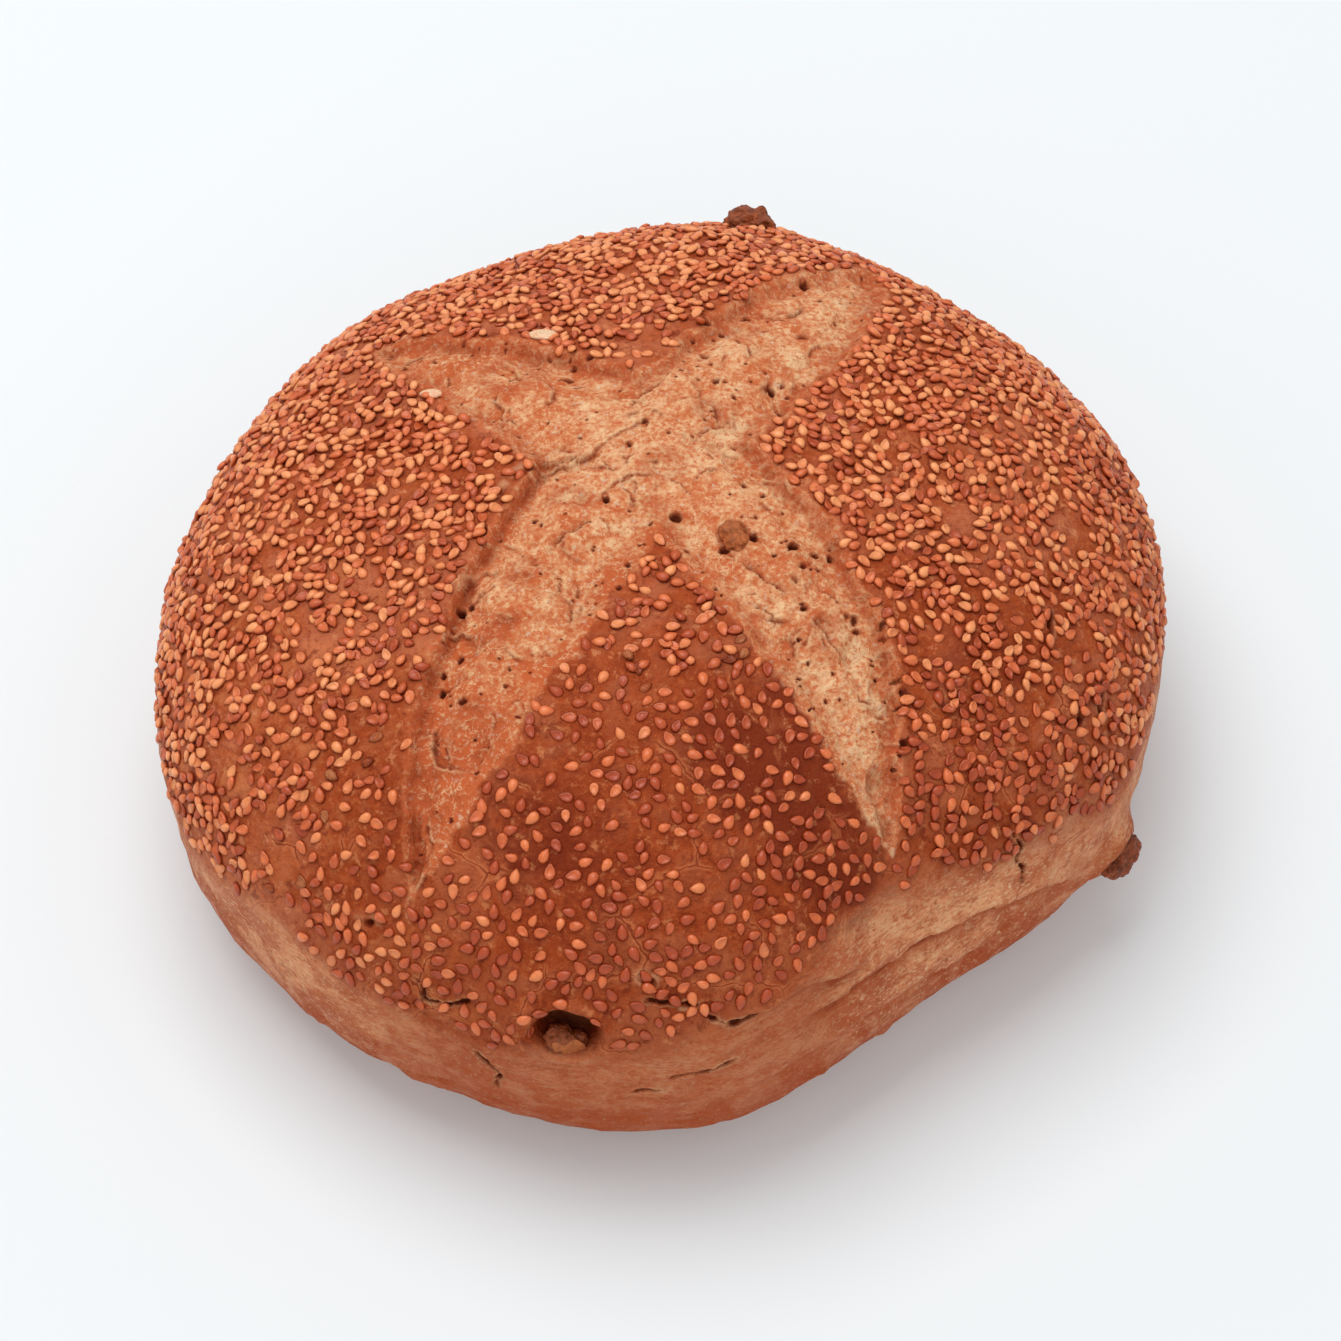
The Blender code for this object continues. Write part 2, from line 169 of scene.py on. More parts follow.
SMALL_PORE_RADII = (0.00018, 0.00048)
PORE_RANDOM = 17
PORE_STRETCH = 1.8
PORE_DEPTH_SHARE = 1.6
# HOLE_DARKNESS sets how much painted shade a hole gets for its depth over its radius
HOLE_LEAST_GRAIN, HOLE_RIM, HOLE_DARKNESS = 0.0007, 0.12, 0.62

# Skin flaps and blister rims in the cross, in millimetres of plan: points, rise, width
BAND_FLAPS = (
    (((-37.6, -24.5), (-36.0, -21.2), (-32.4, -19.2), (-28.8, -18.8), (-25.7, -20.4)), 1.1, 1.2),
    (((-35.0, -26.6), (-33.1, -23.4), (-29.7, -22.2)), 0.6, 0.8),
    (((-40.2, -36.4), (-39.7, -33.8), (-37.2, -32.8), (-34.5, -34.9)), 0.9, 0.9),
    (
        ((-31.5, -60.3), (-34.4, -62.5), (-38.0, -61.8), (-41.3, -60.4), (-42.6, -57.0), (-41.6, -52.5)),
        1.0,
        1.1,
    ),
    (((-10.8, -4.4), (-9.1, -1.2), (-6.8, 1.5), (-3.5, 3.5), (1.0, 3.2)), 0.7, 0.9),
    (((9.1, -6.9), (8.0, -2.1), (6.2, 0.3), (3.4, 2.3)), 0.6, 0.8),
    (((-30.4, -3.5), (-28.1, 2.6), (-24.8, 6.0), (-20.9, 5.9), (-15.3, 7.3)), 0.8, 1.0),
    (((-15.3, 7.3), (-11.9, 9.4), (-9.2, 12.5), (-4.1, 16.3), (-0.1, 19.5)), 0.6, 0.8),
    (((37.8, -26.3), (34.2, -24.5), (32.0, -22.0)), 0.8, 0.9),
    (((37.6, -38.9), (35.1, -36.3), (33.7, -33.0), (31.0, -31.4)), 0.6, 0.9),
    (((14.1, 18.2), (12.7, 22.7), (10.0, 24.4), (5.8, 23.3)), 0.7, 0.9),
    (((25.4, 49.4), (23.1, 48.4), (19.6, 46.2)), 0.7, 0.8),
    (((-46.0, 52.6), (-50.0, 54.0), (-54.2, 52.9)), 1.2, 1.2),
    (((2.6, 36.5), (4.2, 32.0), (1.4, 28.7), (-3.0, 25.8), (-8.0, 25.6)), 0.9, 1.1),
    (((17.1, 19.8), (15.0, 17.1), (12.1, 15.5), (9.0, 12.5)), 0.6, 0.9),
    (((-11.5, -8.5), (-14.6, -11.2), (-16.5, -12.2), (-18.9, -15.6)), 1.0, 0.9),
    (((27.0, -26.6), (22.3, -22.8), (18.5, -19.5), (14.0, -16.6)), 0.8, 1.4),
    (((-25.0, -52.9), (-24.6, -51.3), (-25.7, -50.0), (-27.2, -50.6)), 0.5, 0.7),
)

FLAP_EDGE = 0.00045
FLAP_BREAK_SIZE = 0.0055
# Ragged edge of a flap: shift of the noise, size, how far it strays
FLAP_RAGS = ((-10, 0.0020, 0.0006), (-5, 0.0007, 0.0003))

# Short flaps strewn over the cross by chance: radii, rises and widths in millimetres,
# the turn of the arc in radians, and the least way in from the cross's edge in metres
SHORT_FLAP_COUNT = 120
SHORT_FLAP_RANDOM = 29
SHORT_FLAP_RADII, SHORT_FLAP_TURNS = (1.2, 4.5), (0.5, 1.9)
SHORT_FLAP_RISES, SHORT_FLAP_WIDTHS = (0.30, 0.85), (0.45, 0.85)
SHORT_FLAP_INSET = 0.0015

# Tears in the crust outside the cross: points as azimuth and lift in degrees,
# half width and depth in millimetres
CRUST_TEARS = (
    (((-18, 25.0), (-20, 24.0), (-20.5, 22.4)), 0.7, 2.4),
    (((-23, 26.5), (-25, 25.0)), 0.6, 1.8),
    (((-12.8, 40.5), (-15.2, 39.5), (-16.4, 38.6)), 0.6, 2.0),
    (((-40.2, 17.2), (-39.6, 13.4), (-40.8, 11.2), (-40.0, 7.8), (-40.4, 4.5)), 0.30, 1.2),
    (((-91.0, 23.4), (-90.0, 22.4)), 0.75, 1.4),
    (((-90.6, 19.2), (-88.4, 18.4), (-86.0, 17.6)), 0.35, 1.2),
    (((-86.4, 17.7), (-85.4, 17.2)), 0.55, 1.2),
    (((-84.6, 15.4), (-83.5, 13.6), (-82.0, 11.8)), 0.35, 1.1),
    (((-81.8, 11.4), (-80.0, 10.9), (-78.8, 11.2)), 0.45, 1.2),
    (((-78.8, 11.2), (-77.4, 11.6)), 0.35, 1.0),
    (((-88.5, 0.3), (-86.2, 1.4), (-83.8, 0.9), (-81.2, 2.2)), 0.40, 1.1),
    (((-92.5, -3.6), (-90.6, -3.0), (-89.4, -3.2)), 0.35, 0.9),
    (((-110.0, 12.8), (-112.6, 10.6), (-115.2, 9.4), (-116.4, 6.6)), 0.35, 1.3),
    (((-115.2, 9.4), (-115.6, 12.0), (-116.6, 14.0)), 0.30, 1.1),
    (((-109.0, 1.0), (-107.4, -1.0), (-106.2, -3.0), (-107.0, -8.0)), 0.35, 1.2),
    (((-123.0, 21.0), (-124.2, 19.4)), 0.7, 1.4),
)

TEAR_END, TEAR_RIM = 0.0012, 0.16

# Torn pocket on the front: azimuth, lift, half width, half height, depth
POCKET_AZIMUTH, POCKET_LIFT = math.radians(-99.2), math.radians(10.8)
POCKET_HALF_WIDTH, POCKET_HALF_HEIGHT, POCKET_DEPTH = 0.0074, 0.0056, 0.0078
POCKET_RIM = 0.0007
POCKET_SLAB, POCKET_FINE = 0.010, 0.006

# Small knobs of dough at the lower edge: azimuth, lift, radius, rise
KNOBS = (
    (-133.6, -22.0, 0.0022, 0.0011),
    (-131.0, -19.0, 0.0018, 0.0008),
    (-117.2, -21.0, 0.0030, 0.0012),
    (-114.5, -22.5, 0.0020, 0.0009),
    (-59.2, -26.0, 0.0017, 0.0009),
    (-69.6, -19.0, 0.0016, 0.0011),
    (-96.0, -24.0, 0.0022, 0.0008),
    (-146.0, -20.0, 0.0020, 0.0008),
    (64.0, -22.0, 0.0022, 0.0010),
    (118.0, -20.0, 0.0024, 0.0010),
    (162.0, -24.0, 0.0020, 0.0009),
    (14.0, -21.0, 0.0020, 0.0009),
)

# Walnut pieces: name, azimuth, lift and offset of the middle from the crust,
# half length, half width, half height, turn, seed of the wrinkles
WALNUTS = (
    ("walnut_rear", 77.5, 25.0, 0.0006, 0.0057, 0.0048, 0.0043, 10, 3),
    ("walnut_side", -23.0, -13.5, 0.0018, 0.0052, 0.0047, 0.0044, 60, 8),
    ("walnut_front", -99.4, 6.5, -0.0034, 0.0044, 0.0036, 0.0034, -20, 5),
    ("walnut_cross", -37.0, 79.6, -0.0006, 0.0036, 0.0027, 0.0021, 75, 11),
)
# Where each piece's broken face starts, as a share of its size, which way it looks,
# and how pale its skin is
WALNUT_BREAKS = {
    "walnut_rear": (0.62, (-0.85, -0.30, 0.42), 0.08),
    "walnut_side": (2.00, (0.0, 0.0, 1.0), 0.0),
    "walnut_front": (0.62, (0.35, 0.10, 0.93), 0.12),
    "walnut_cross": (2.00, (0.0, 0.0, 1.0), 0.80),
}
WALNUT_GROOVE_DEPTH, WALNUT_GROOVE_WIDTH = 0.24, 0.24
WALNUT_WRINKLE_DEPTH, WALNUT_WRINKLES = 0.20, 2.3
WALNUT_RIDGE_DEPTH, WALNUT_RIDGES = 0.09, 4.2
WALNUT_GRAIN_DEPTH, WALNUT_GRAIN = 0.035, 9
WALNUT_REACH = 1.12
# How deep the crust sinks under each piece, as a share of SOCKET_DEPTH
SOCKET_SHARES = {"walnut_rear": 1.0, "walnut_side": 1.0, "walnut_front": 0.0, "walnut_cross": 0.35}
SOCKET_DEPTH = 0.0026
# How far the crust stands out round the side and the rear piece
SIDE_COLLAR, REAR_COLLAR = 0.0022, 0.0007

# Lowest seeds: their height, and the rise of that limit on the front right side
SEED_LIMIT = 0.0400
SEED_LIMIT_RISE, SEED_LIMIT_AZIMUTH, SEED_LIMIT_SPREAD = 0.0130, math.radians(-60), math.radians(20)
SEED_LIMIT_FUZZ = 0.0060
SEED_EDGE_OVERHANG, SEED_EDGE_FUZZ = 0.0002, 0.0006
# The bare skin of the side starts below the seeds' limit
BARE_BELOW_LIMIT, BARE_FUZZ = 0.004, 0.009
# How thickly the seeds lie: plan x, plan y, reach, share
SEED_PATCHES = (
    (0.000, 0.075, 0.046, 1.00),
    (-0.062, 0.018, 0.034, 1.00),
    (-0.080, -0.030, 0.030, 0.84),
    (-0.060, -0.070, 0.030, 0.55),
    (0.048, 0.018, 0.034, 0.95),
    (0.085, 0.010, 0.040, 0.90),
    (0.076, -0.036, 0.030, 0.76),
    (0.003, -0.030, 0.014, 1.00),
    (0.006, -0.044, 0.026, 0.54),
    (0.004, -0.080, 0.036, 0.44),
    (0.070, 0.070, 0.036, 0.90),
    (-0.070, 0.060, 0.036, 0.95),
)
# Far from every patch the share is the first of these over the second
SEED_FAR_TOTAL, SEED_FAR_WEIGHT = 0.05, 0.06
# Seeds that lie thicker than this touch each other
CLOSE_SET_FROM, CLOSE_SET_FADE = 0.56, 0.10
APART_SHARE = 0.92
SEED_TILT = 0.38

# Bare places among the seeds: plan x, plan y, reach
SEED_GAPS = (
    (0.001, 0.041, 0.0065),
    (0.001, -0.003, 0.0060),
    (-0.030, 0.004, 0.0035),
    (-0.084, -0.046, 0.0038),
    (-0.076, -0.060, 0.0036),
    (-0.066, -0.030, 0.0040),
    (0.072, -0.022, 0.0045),
    (0.062, 0.000, 0.0035),
    (0.084, 0.006, 0.0045),
    (-0.020, -0.062, 0.0035),
    (0.012, -0.084, 0.0040),
)

# How pale the cross is, partly its own tone and partly painted light and shade: plan x, plan y, reach, shift
BAND_TONES = (
    (0.002, 0.012, 0.016, 0.050),
    (-0.036, 0.038, 0.022, -0.030),
    (0.030, 0.052, 0.022, 0.026),
    (-0.026, -0.012, 0.016, 0.004),
    (-0.036, -0.042, 0.016, -0.048),
    (-0.043, -0.063, 0.013, -0.150),
    (-0.048, -0.081, 0.008, 0.050),
    (0.026, -0.018, 0.016, 0.006),
    (0.042, -0.048, 0.016, 0.044),
    (0.047, -0.070, 0.009, 0.085),
)

# Toast of the crust outside the cross, with painted light and shade in some patches, in the same way
CRUST_TONES = (
    (0.024, -0.062, 0.016, 1.15),
    (0.034, -0.078, 0.011, 0.60),
    (-0.022, -0.076, 0.015, 0.65),
    (0.000, -0.040, 0.014, 0.20),
    (-0.004, -0.088, 0.014, 0.25),
    (0.066, -0.030, 0.014, 0.45),
    (0.060, -0.012, 0.009, 0.35),
    (-0.052, -0.014, 0.014, 0.30),
    (-0.080, -0.052, 0.022, -0.30),
    (-0.068, -0.020, 0.016, -0.25),
    (-0.048, -0.100, 0.016, -0.35),
    (0.082, 0.020, 0.016, -0.20),
)

# Pale kernels by the edge of the cross: azimuth, lift, turn, length, width
KERNELS = (
    (115.2, 63.0, -39, 0.0062, 0.0034),
    (145.6, 60.5, -76, 0.0050, 0.0026),
)

KERNEL_THICKNESS, KERNEL_RISE = 0.0014, 0.0004
KERNEL_RIDGES, KERNEL_RIDGE_RISE, KERNEL_TAPER = 48, 0.06, 0.25

# Where the crust's mesh is finer: round this azimuth on the front, and above these heights
FINE_AZIMUTH, FINE_HALF = math.radians(-72), math.radians(58)
FINE_ABOVE, FINE_FRONT_ABOVE = 0.040, 0.006

# Shift of the noise for each kind of relief, so that no two look alike
SHIFTS = {
    "edge": 3.0,
    "fine": 5.0,
    "wall": 6.0,
    "band": 11.0,
    "streaks": 21.0,
    "flaps": 41.0,
    "tears": 51.0,
    "ripples": 61.0,
    "pocket": 71.0,
    "seeds": 81.0,
    "knobs": 91.0,
    "short flaps": 141.0,
}

# Studio: where the two lights stand, what they aim at, and the tints of floor glow and sky
KEY_PLACE, FILL_PLACE = (-0.30, 0.32, 1.5), (0.10, -1.25, 0.55)
FILL_SIZE_SHARE = 1.2
LIGHT_AIM = (0, 0, 0.05)
GLOW_TINT, SKY_TINT = (0.95, 0.99, 1.0, 1), (0.975, 0.995, 1.0, 1)
FLOOR_HALF = 4.0

# Camera of the photograph: elevation, distance, focal length on a 36 mm frame,
# and the aim beside and below the loaf's middle
CAMERA_ELEVATION = math.radians(50)
CAMERA_DISTANCE = 0.950
CAMERA_LENS = 123.7
CAMERA_AIM_HEIGHT = 0.045
CAMERA_AIM_RIGHT, CAMERA_AIM_DOWN = 0.00408, 0.00821


def colour_property(name, description, default):
    return FloatVectorProperty(
        name=name, description=description, default=default, size=3, min=0, max=1, subtype="COLOR"
    )


def length_property(name, description, default):
    return FloatProperty(name=name, description=description, default=default, min=0, unit="LENGTH")


def light_property(name, description, default, subtype="NONE"):
    return FloatProperty(name=name, description=description, default=default, min=0, subtype=subtype)


class SeedSizes(bpy.types.PropertyGroup):
    length: length_property("Length", "Length of a sesame seed", 0.00325)
    width: length_property("Width", "Widest width of a sesame seed", 0.0021)
    thickness: length_property("Thickness", "Thickness of a sesame seed", 0.0013)
    coat: length_property("Coat", "How far the crust lies below the solid part's skin", 0.0007)
    spacing: length_property("Spacing", "Least distance between seeds that touch", 0.00178)
    apart: length_property("Apart", "Least distance between seeds that lie apart", 0.0026)
    most: FloatProperty(name="Most", description="Trial spots per square metre", default=900000, min=0)
    dished: FloatProperty(
        name="Dished", description="Share of seeds with a hollow", default=0.38, min=0, max=1
    )
    random: IntProperty(name="Random", description="Seed of the scatter", default=7)


class CrustColours(bpy.types.PropertyGroup):
    deep: colour_property("Deep", "Darkest crust between seeds", (0.22, 0.028, 0.006))
    toast: colour_property("Toast", "Middle colour of the seeded crust", (0.41, 0.070, 0.015))
    dull: colour_property("Dull", "Dull pinkish crust", (0.50, 0.13, 0.055))
    gold: colour_property("Gold", "Lighter golden crust", (0.66, 0.19, 0.066))
    band_red: colour_property("Band red", "Browned skin in the cross", (0.58, 0.125, 0.038))
    band_tan: colour_property("Band tan", "Middle colour of the cross", (0.72, 0.295, 0.130))
    band_cream: colour_property("Band cream", "Pale skin in the cross", (0.86, 0.53, 0.285))
    # Painted shade inside holes, tears and the pocket
    hollow_shade: colour_property("Hollow shade", "Painted shade inside holes and tears", (0.22, 0.056, 0.018))
    stretch: colour_property("Stretch", "Stretched skin on the side", (0.80, 0.325, 0.145))
    # Browned skin and painted shade in the cross's dips
    scorch_and_shade: colour_property("Scorch and shade", "Browned skin and painted shade in the cross's dips", (0.46, 0.095, 0.032))
    flour: colour_property("Flour", "Greyish pale specks", (0.72, 0.56, 0.42))


class NutColours(bpy.types.PropertyGroup):
    seed_dark: colour_property("Dark seed", "Most browned seeds", (0.44, 0.064, 0.014))
    seed_mid: colour_property("Seed", "Most seeds", (0.74, 0.165, 0.047))
    seed_light: colour_property("Light seed", "Least browned seeds", (0.91, 0.34, 0.125))
    walnut_dark: colour_property("Walnut skin", "Dark walnut skin", (0.125, 0.029, 0.010))
    walnut_light: colour_property("Walnut flesh", "Broken walnut face", (0.56, 0.155, 0.045))
    kernel: colour_property("Kernel", "Pale kernels", (0.88, 0.56, 0.33))


class StageLook(bpy.types.PropertyGroup):
    floor: colour_property("Floor", "Colour of the floor", (0.71, 0.735, 0.75))
    glow: light_property("Glow", "Light that the floor gives off itself", 0.130)
    fill: light_property("Fill", "Power of the weak front light", 3.0, "POWER")
    sky: light_property("Sky", "Strength of the light from all round", 0.56)
    key: light_property("Key", "Power of the main light", 15.7, "POWER")
    lamp: length_property("Lamp", "Side of the main light", 1.15)


def smooth_step(value):
    share = np.clip(value, 0, 1)
    return share * share * (3 - 2 * share)


def bell(value, width):
    return np.exp(-((value / width) ** 2))


def raise_to(field, chosen, values):
    """Lift a field to the given values where it lies below them."""
    field[chosen] = np.maximum(field[chosen], values)


def angle_between(azimuth, other):
    return (azimuth - other + math.pi) % (2 * math.pi) - math.pi


def noise_at(points, size, shift=0.0):
    """Smooth noise, about -1 to 1, with lumps of the given size."""
    offset = Vector((shift, 2 * shift, 3 * shift))
    places = (points / size).tolist()
    return np.array([noise.noise(Vector(place) + offset) for place in places])


def outline_radius(azimuth):
    """Radius of the loaf's widest level."""
    radius = MEAN_RADIUS * (
        1
        + OVAL_SHARE * np.cos(2 * (azimuth - OVAL_AZIMUTH))
        + THREE_LOBE_SHARE * np.cos(3 * (azimuth - THREE_LOBE_AZIMUTH))
    )
    for swell, middle, spread in SWELLS:
        radius = radius + swell * np.exp(-0.5 * (angle_between(azimuth, middle) / spread) ** 2)
    return radius


def dome_points(azimuth, lift):
    """Points of the plain loaf. A lift of 90 degrees is the crown, and one under BASE_LIFT is the base."""
    power = 2 / ROUNDNESS
    radius = outline_radius(azimuth)
    roll = np.clip(lift / BASE_LIFT, 0, 1) * math.pi / 2
    inwards = np.clip((lift + math.pi / 2) / (BASE_LIFT + math.pi / 2), 0, 1)
    upper = np.clip(lift, 0, math.pi / 2)
    across = np.where(
        lift >= 0,
        radius * np.cos(upper) ** power,
        radius * (BASE_SHARE + (1 - BASE_SHARE) * np.cos(roll) ** power),
    )
    across = np.where(lift < BASE_LIFT, radius * BASE_SHARE * inwards, across)
    height = np.where(
        lift >= 0,
        BELLY_HEIGHT + (CROWN_HEIGHT - BELLY_HEIGHT) * np.sin(upper) ** power,
        BELLY_HEIGHT - (BELLY_HEIGHT + KEEL_BELOW_BASE) * np.sin(roll) ** power,
    )
    return np.stack([across * np.cos(azimuth), across * np.sin(azimuth), height], axis=-1)


def plan_to_dome(x, y):
    """Points of the plain loaf above places in plan."""
    azimuth = np.arctan2(y, x)
    share = np.clip(np.hypot(x, y) / outline_radius(azimuth), 0, 1)
    return dome_points(azimuth, np.arccos(share ** (ROUNDNESS / 2)))


def arm_field(x, y, arm):
    """Distance to one arm's edge, below zero inside, then the way along the arm and sideways."""
    end_x, end_y, bow, half_width, taper = arm[:5]
    run = np.array([end_x - CROSS_MIDDLE[0], end_y - CROSS_MIDDLE[1]])
    length = np.linalg.norm(run)
    from_x, from_y = x - CROSS_MIDDLE[0], y - CROSS_MIDDLE[1]
    share = (from_x * run[0] + from_y * run[1]) / length**2
    held = np.clip(share, 0, 1)
    sideways = (run[0] * from_y - run[1] * from_x) / length - 4 * bow * held * (1 - held)
    beside = np.abs(sideways) - half_width * (1 - held**taper) ** ARM_TIP_POWER
    beyond = np.maximum(np.maximum(share - 1, -share), 0) * length
    outside = np.hypot(np.maximum(beside, 0), beyond)
    edge = np.where((beside < 0) & (beyond <= 0), beside, outside)
    return edge, share * length, sideways


def cross_field(x, y):
    """The nearest arm's edge distance, wall depth, way along and way sideways."""
    best = None
    for arm in CROSS_ARMS:
        edge, along, sideways = arm_field(x, y, arm)
        blend = smooth_step(0.5 + sideways / WALL_BLEND)
        depth = arm[6] + (arm[5] - arm[6]) * blend
        field = np.stack([edge, depth, along, sideways])
        best = field if best is None else np.where(edge < best[0], field, best)
    return best


class Skin:
    """Points of the crust with what has been worked out for them so far."""

    def __init__(self, points):
        self.points = points
        self.azimuth = np.arctan2(points[:, 1], points[:, 0])
        self.relief = np.zeros(len(points))
        self.hollow_shade = np.zeros(len(points))
        self.pale = np.zeros(len(points))
        self.crease_shade = np.zeros(len(points))
        self.knob = np.zeros(len(points))
        self.brown_and_shade = np.zeros(len(points))
        self.upper = points[:, 2] > BELLY_HEIGHT
        self.edge, self.depth, self.along, self.sideways = cross_field(points[:, 0], points[:, 1])
        for x, y, reach, shift in CROSS_CORNERS:
            away = (points[:, 0] - x) ** 2 + (points[:, 1] - y) ** 2
            self.edge += shift * np.exp(-away / reach**2)
        self.edge = np.where(self.upper, self.edge, 1.0)
        near = np.abs(self.edge) < EDGE_WOBBLE_REACH
        for number, (size, rise) in enumerate(EDGE_WOBBLES):
            wobble = noise_at(points[near], size, SHIFTS["edge"] + number)
            self.edge[near] += wobble * rise
        self.depth[near] *= 1 + WALL_WOBBLE * noise_at(points[near], WALL_WOBBLE_SIZE, SHIFTS["wall"])
        self.band = smooth_step(0.5 - self.edge / BAND_FUZZ)
        self.inside = np.maximum(-self.edge, 0)

    def add_cross(self):
        foot = CROSS_DEPTH * self.depth
        width = EASY_WALL + (STEEP_WALL - EASY_WALL) * smooth_step(self.depth)
        wall = smooth_step(self.inside / width)
        swell = (foot + CROSS_CROWN) * smooth_step((self.inside - width) / CROSS_SWELL_REACH)
        rim = LIP_RISE * (0.5 + 0.5 * self.depth)
        floor = swell - foot * wall + rim * (1 - wall)
        lip = rim * bell(self.edge, LIP_WIDTH)
        # Browned skin and painted shade on the walls, stronger where the wall is deeper
        slope = bell(self.inside - WALL_BROWN_SHADE_AT * width, WALL_BROWN_SHADE_SPREAD * width)
        slope = slope * smooth_step(self.depth * WALL_BROWN_SHADE_GAIN)
        self.brown_and_shade = np.maximum(self.brown_and_shade, np.where(self.upper & (self.edge < 0), slope, 0))
        self.relief += np.where(self.upper, np.where(self.edge < 0, floor, lip), 0)

    def add_lumps(self):
        for size, rise in CRUST_LUMPS:
            self.relief += rise * noise_at(self.points, size)
        for number, (size, rise) in enumerate(FINE_LUMPS):
            self.relief += rise * noise_at(self.points, size, SHIFTS["fine"] + number)

    def add_band_lumps(self):
        chosen = self.edge < BAND_LUMP_START
        points = self.points[chosen]
        fade = smooth_step((self.inside[chosen] + BAND_LUMP_LEAD) / BAND_LUMP_FADE)
        for number, (size, rise) in enumerate(BAND_LUMPS):
            self.relief[chosen] += rise * fade * noise_at(points, size, SHIFTS["band"] + number)
        outer = smooth_step((self.along[chosen] - STREAK_START) / STREAK_FADE)
        for number, (length, width, rise) in enumerate(BAND_STREAKS):
            place = np.stack([self.along[chosen] / length, self.sideways[chosen] / width], axis=-1)
            place = np.concatenate([place, np.zeros((len(place), 1))], axis=1)
            self.relief[chosen] += rise * fade * outer * noise_at(place, 1.0, SHIFTS["streaks"] + number)

    def add_holes(self, holes, first_random):
        """Sink each hole, stretched and turned by chance, with a ragged edge."""
        draw = random.Random(first_random)
        for x, y, radius, depth in holes:
            turn, stretch = draw.uniform(0, math.pi), draw.uniform(1, PORE_STRETCH)
            east, north = self.points[:, 0] - x, self.points[:, 1] - y
            close = (np.hypot(east, north) < 3 * radius) & self.upper
            east, north = east[close], north[close]
            along = (east * math.cos(turn) + north * math.sin(turn)) / stretch
            across = north * math.cos(turn) - east * math.sin(turn)
            reach = np.hypot(along, across) / (radius / math.sqrt(stretch))
            grain = max(1.1 * radius, HOLE_LEAST_GRAIN)
            reach += 0.30 * noise_at(self.points[close], grain, draw.uniform(0, 50))
            self.relief[close] -= depth * (1 - smooth_step((reach - 0.45) / 0.6))
            self.relief[close] += HOLE_RIM * depth * bell(reach - 1.25, 0.3)
            # Painted shade inside the hole, darker the deeper and narrower it is, and browned skin with
            # painted shade round its rim
            dark = min(1.0, HOLE_DARKNESS * depth / radius)
            raise_to(self.hollow_shade, close, dark * (1 - smooth_step((reach - 0.5) / 0.5)))
            raise_to(self.brown_and_shade, close, 0.8 * bell(reach - 0.95, 0.35))

    def line_field(self, line, chosen=slice(None)):
        """At the chosen points, the distance to a line on the skin, its side and the way to its ends."""
        points = self.points[chosen]
        nearest = np.full(len(points), 1.0)
        side = np.ones(len(points))
        for start, end in zip(line[:-1], line[1:]):
            run = end - start
            offset = points - start
            share = np.clip(offset @ run / (run @ run), 0, 1)
            gap = offset - share[:, None] * run
            away = np.linalg.norm(gap, axis=1)
            outwards = np.array([start[0], start[1], 0.05])
            turn = np.sign(np.cross(run, gap) @ outwards)
            closer = away < nearest
            nearest[closer] = away[closer]
            side[closer] = turn[closer]
        ends = np.minimum(np.linalg.norm(points - line[0], axis=1), np.linalg.norm(points - line[-1], axis=1))
        return nearest, side, ends

    def add_flaps(self, flaps, first_noise):
        """Raise torn skin on one side of each line, and sink the other side."""
        for number, (places, rise, width) in enumerate(flaps):
            plan = np.array(places) / 1000
            line = plan_to_dome(plan[:, 0], plan[:, 1])
            rise, width = rise / 1000, width / 1000
            middle = line.mean(axis=0)
            reach = np.linalg.norm(line - middle, axis=1).max() + 4 * width
            chosen = np.nonzero(np.linalg.norm(self.points - middle, axis=1) < reach)[0]
            if len(chosen) == 0:
                continue
            points = self.points[chosen]
            away, side, ends = self.line_field(line, chosen)
            fade = smooth_step(ends / (1.5 * width)) * (away < 4 * width)
            fade *= smooth_step(0.85 + 1.1 * noise_at(points, FLAP_BREAK_SIZE, first_noise + number))
            ragged = side * away
            for shift, size, rise_share in FLAP_RAGS:
                ragged = ragged + rise_share * noise_at(points, size, first_noise + shift + number)
            step = smooth_step(0.5 + ragged / FLAP_EDGE)
            high = rise * np.exp(-np.maximum(ragged, 0) / (1.3 * width))
            low = -0.7 * rise * np.exp(-np.maximum(-ragged, 0) / (0.8 * width))
            self.relief[chosen] += fade * (step * high + (1 - step) * low)
            # Painted shadow in a thin line below each flap's edge, a pale line along its crest, and browned
            # skin with painted shade on its low side
            raise_to(self.hollow_shade, chosen, 0.48 * bell(ragged + 0.00025, 0.00030) * fade)
            raise_to(self.pale, chosen, 0.70 * bell(ragged - 0.00035, 0.00025) * fade)
            raise_to(self.brown_and_shade, chosen, (1 - step) * bell(ragged, 1.1 * width) * fade)

    def add_tears(self):
        for number, (places, width, depth) in enumerate(CRUST_TEARS):
            angles = np.radians(np.array(places))
            line = dome_points(angles[:, 0], angles[:, 1])
            width, depth = width / 1000, depth / 1000
            away, _, ends = self.line_field(line)
            close = away < 8 * width + 0.002
            shift = SHIFTS["tears"] + number
            ragged = away[close] + 0.0007 * noise_at(self.points[close], 0.0020, shift)
            ragged += 0.0003 * noise_at(self.points[close], 0.0008, shift + 5)
            pale_share = noise_at(self.points[close], 0.0045, shift + 7)
            cleft = bell(np.maximum(ragged, 0), 0.8 * width)
            cleft *= smooth_step(ends[close] / TEAR_END + 0.2)
            rim = bell(ragged - 1.6 * width, 0.8 * width)
            self.relief[close] += TEAR_RIM * depth * rim - depth * cleft
            # Painted shade inside the tear
            raise_to(self.hollow_shade, close, cleft**2)
            raise_to(self.pale, close, 0.5 * rim * smooth_step(0.5 + pale_share))

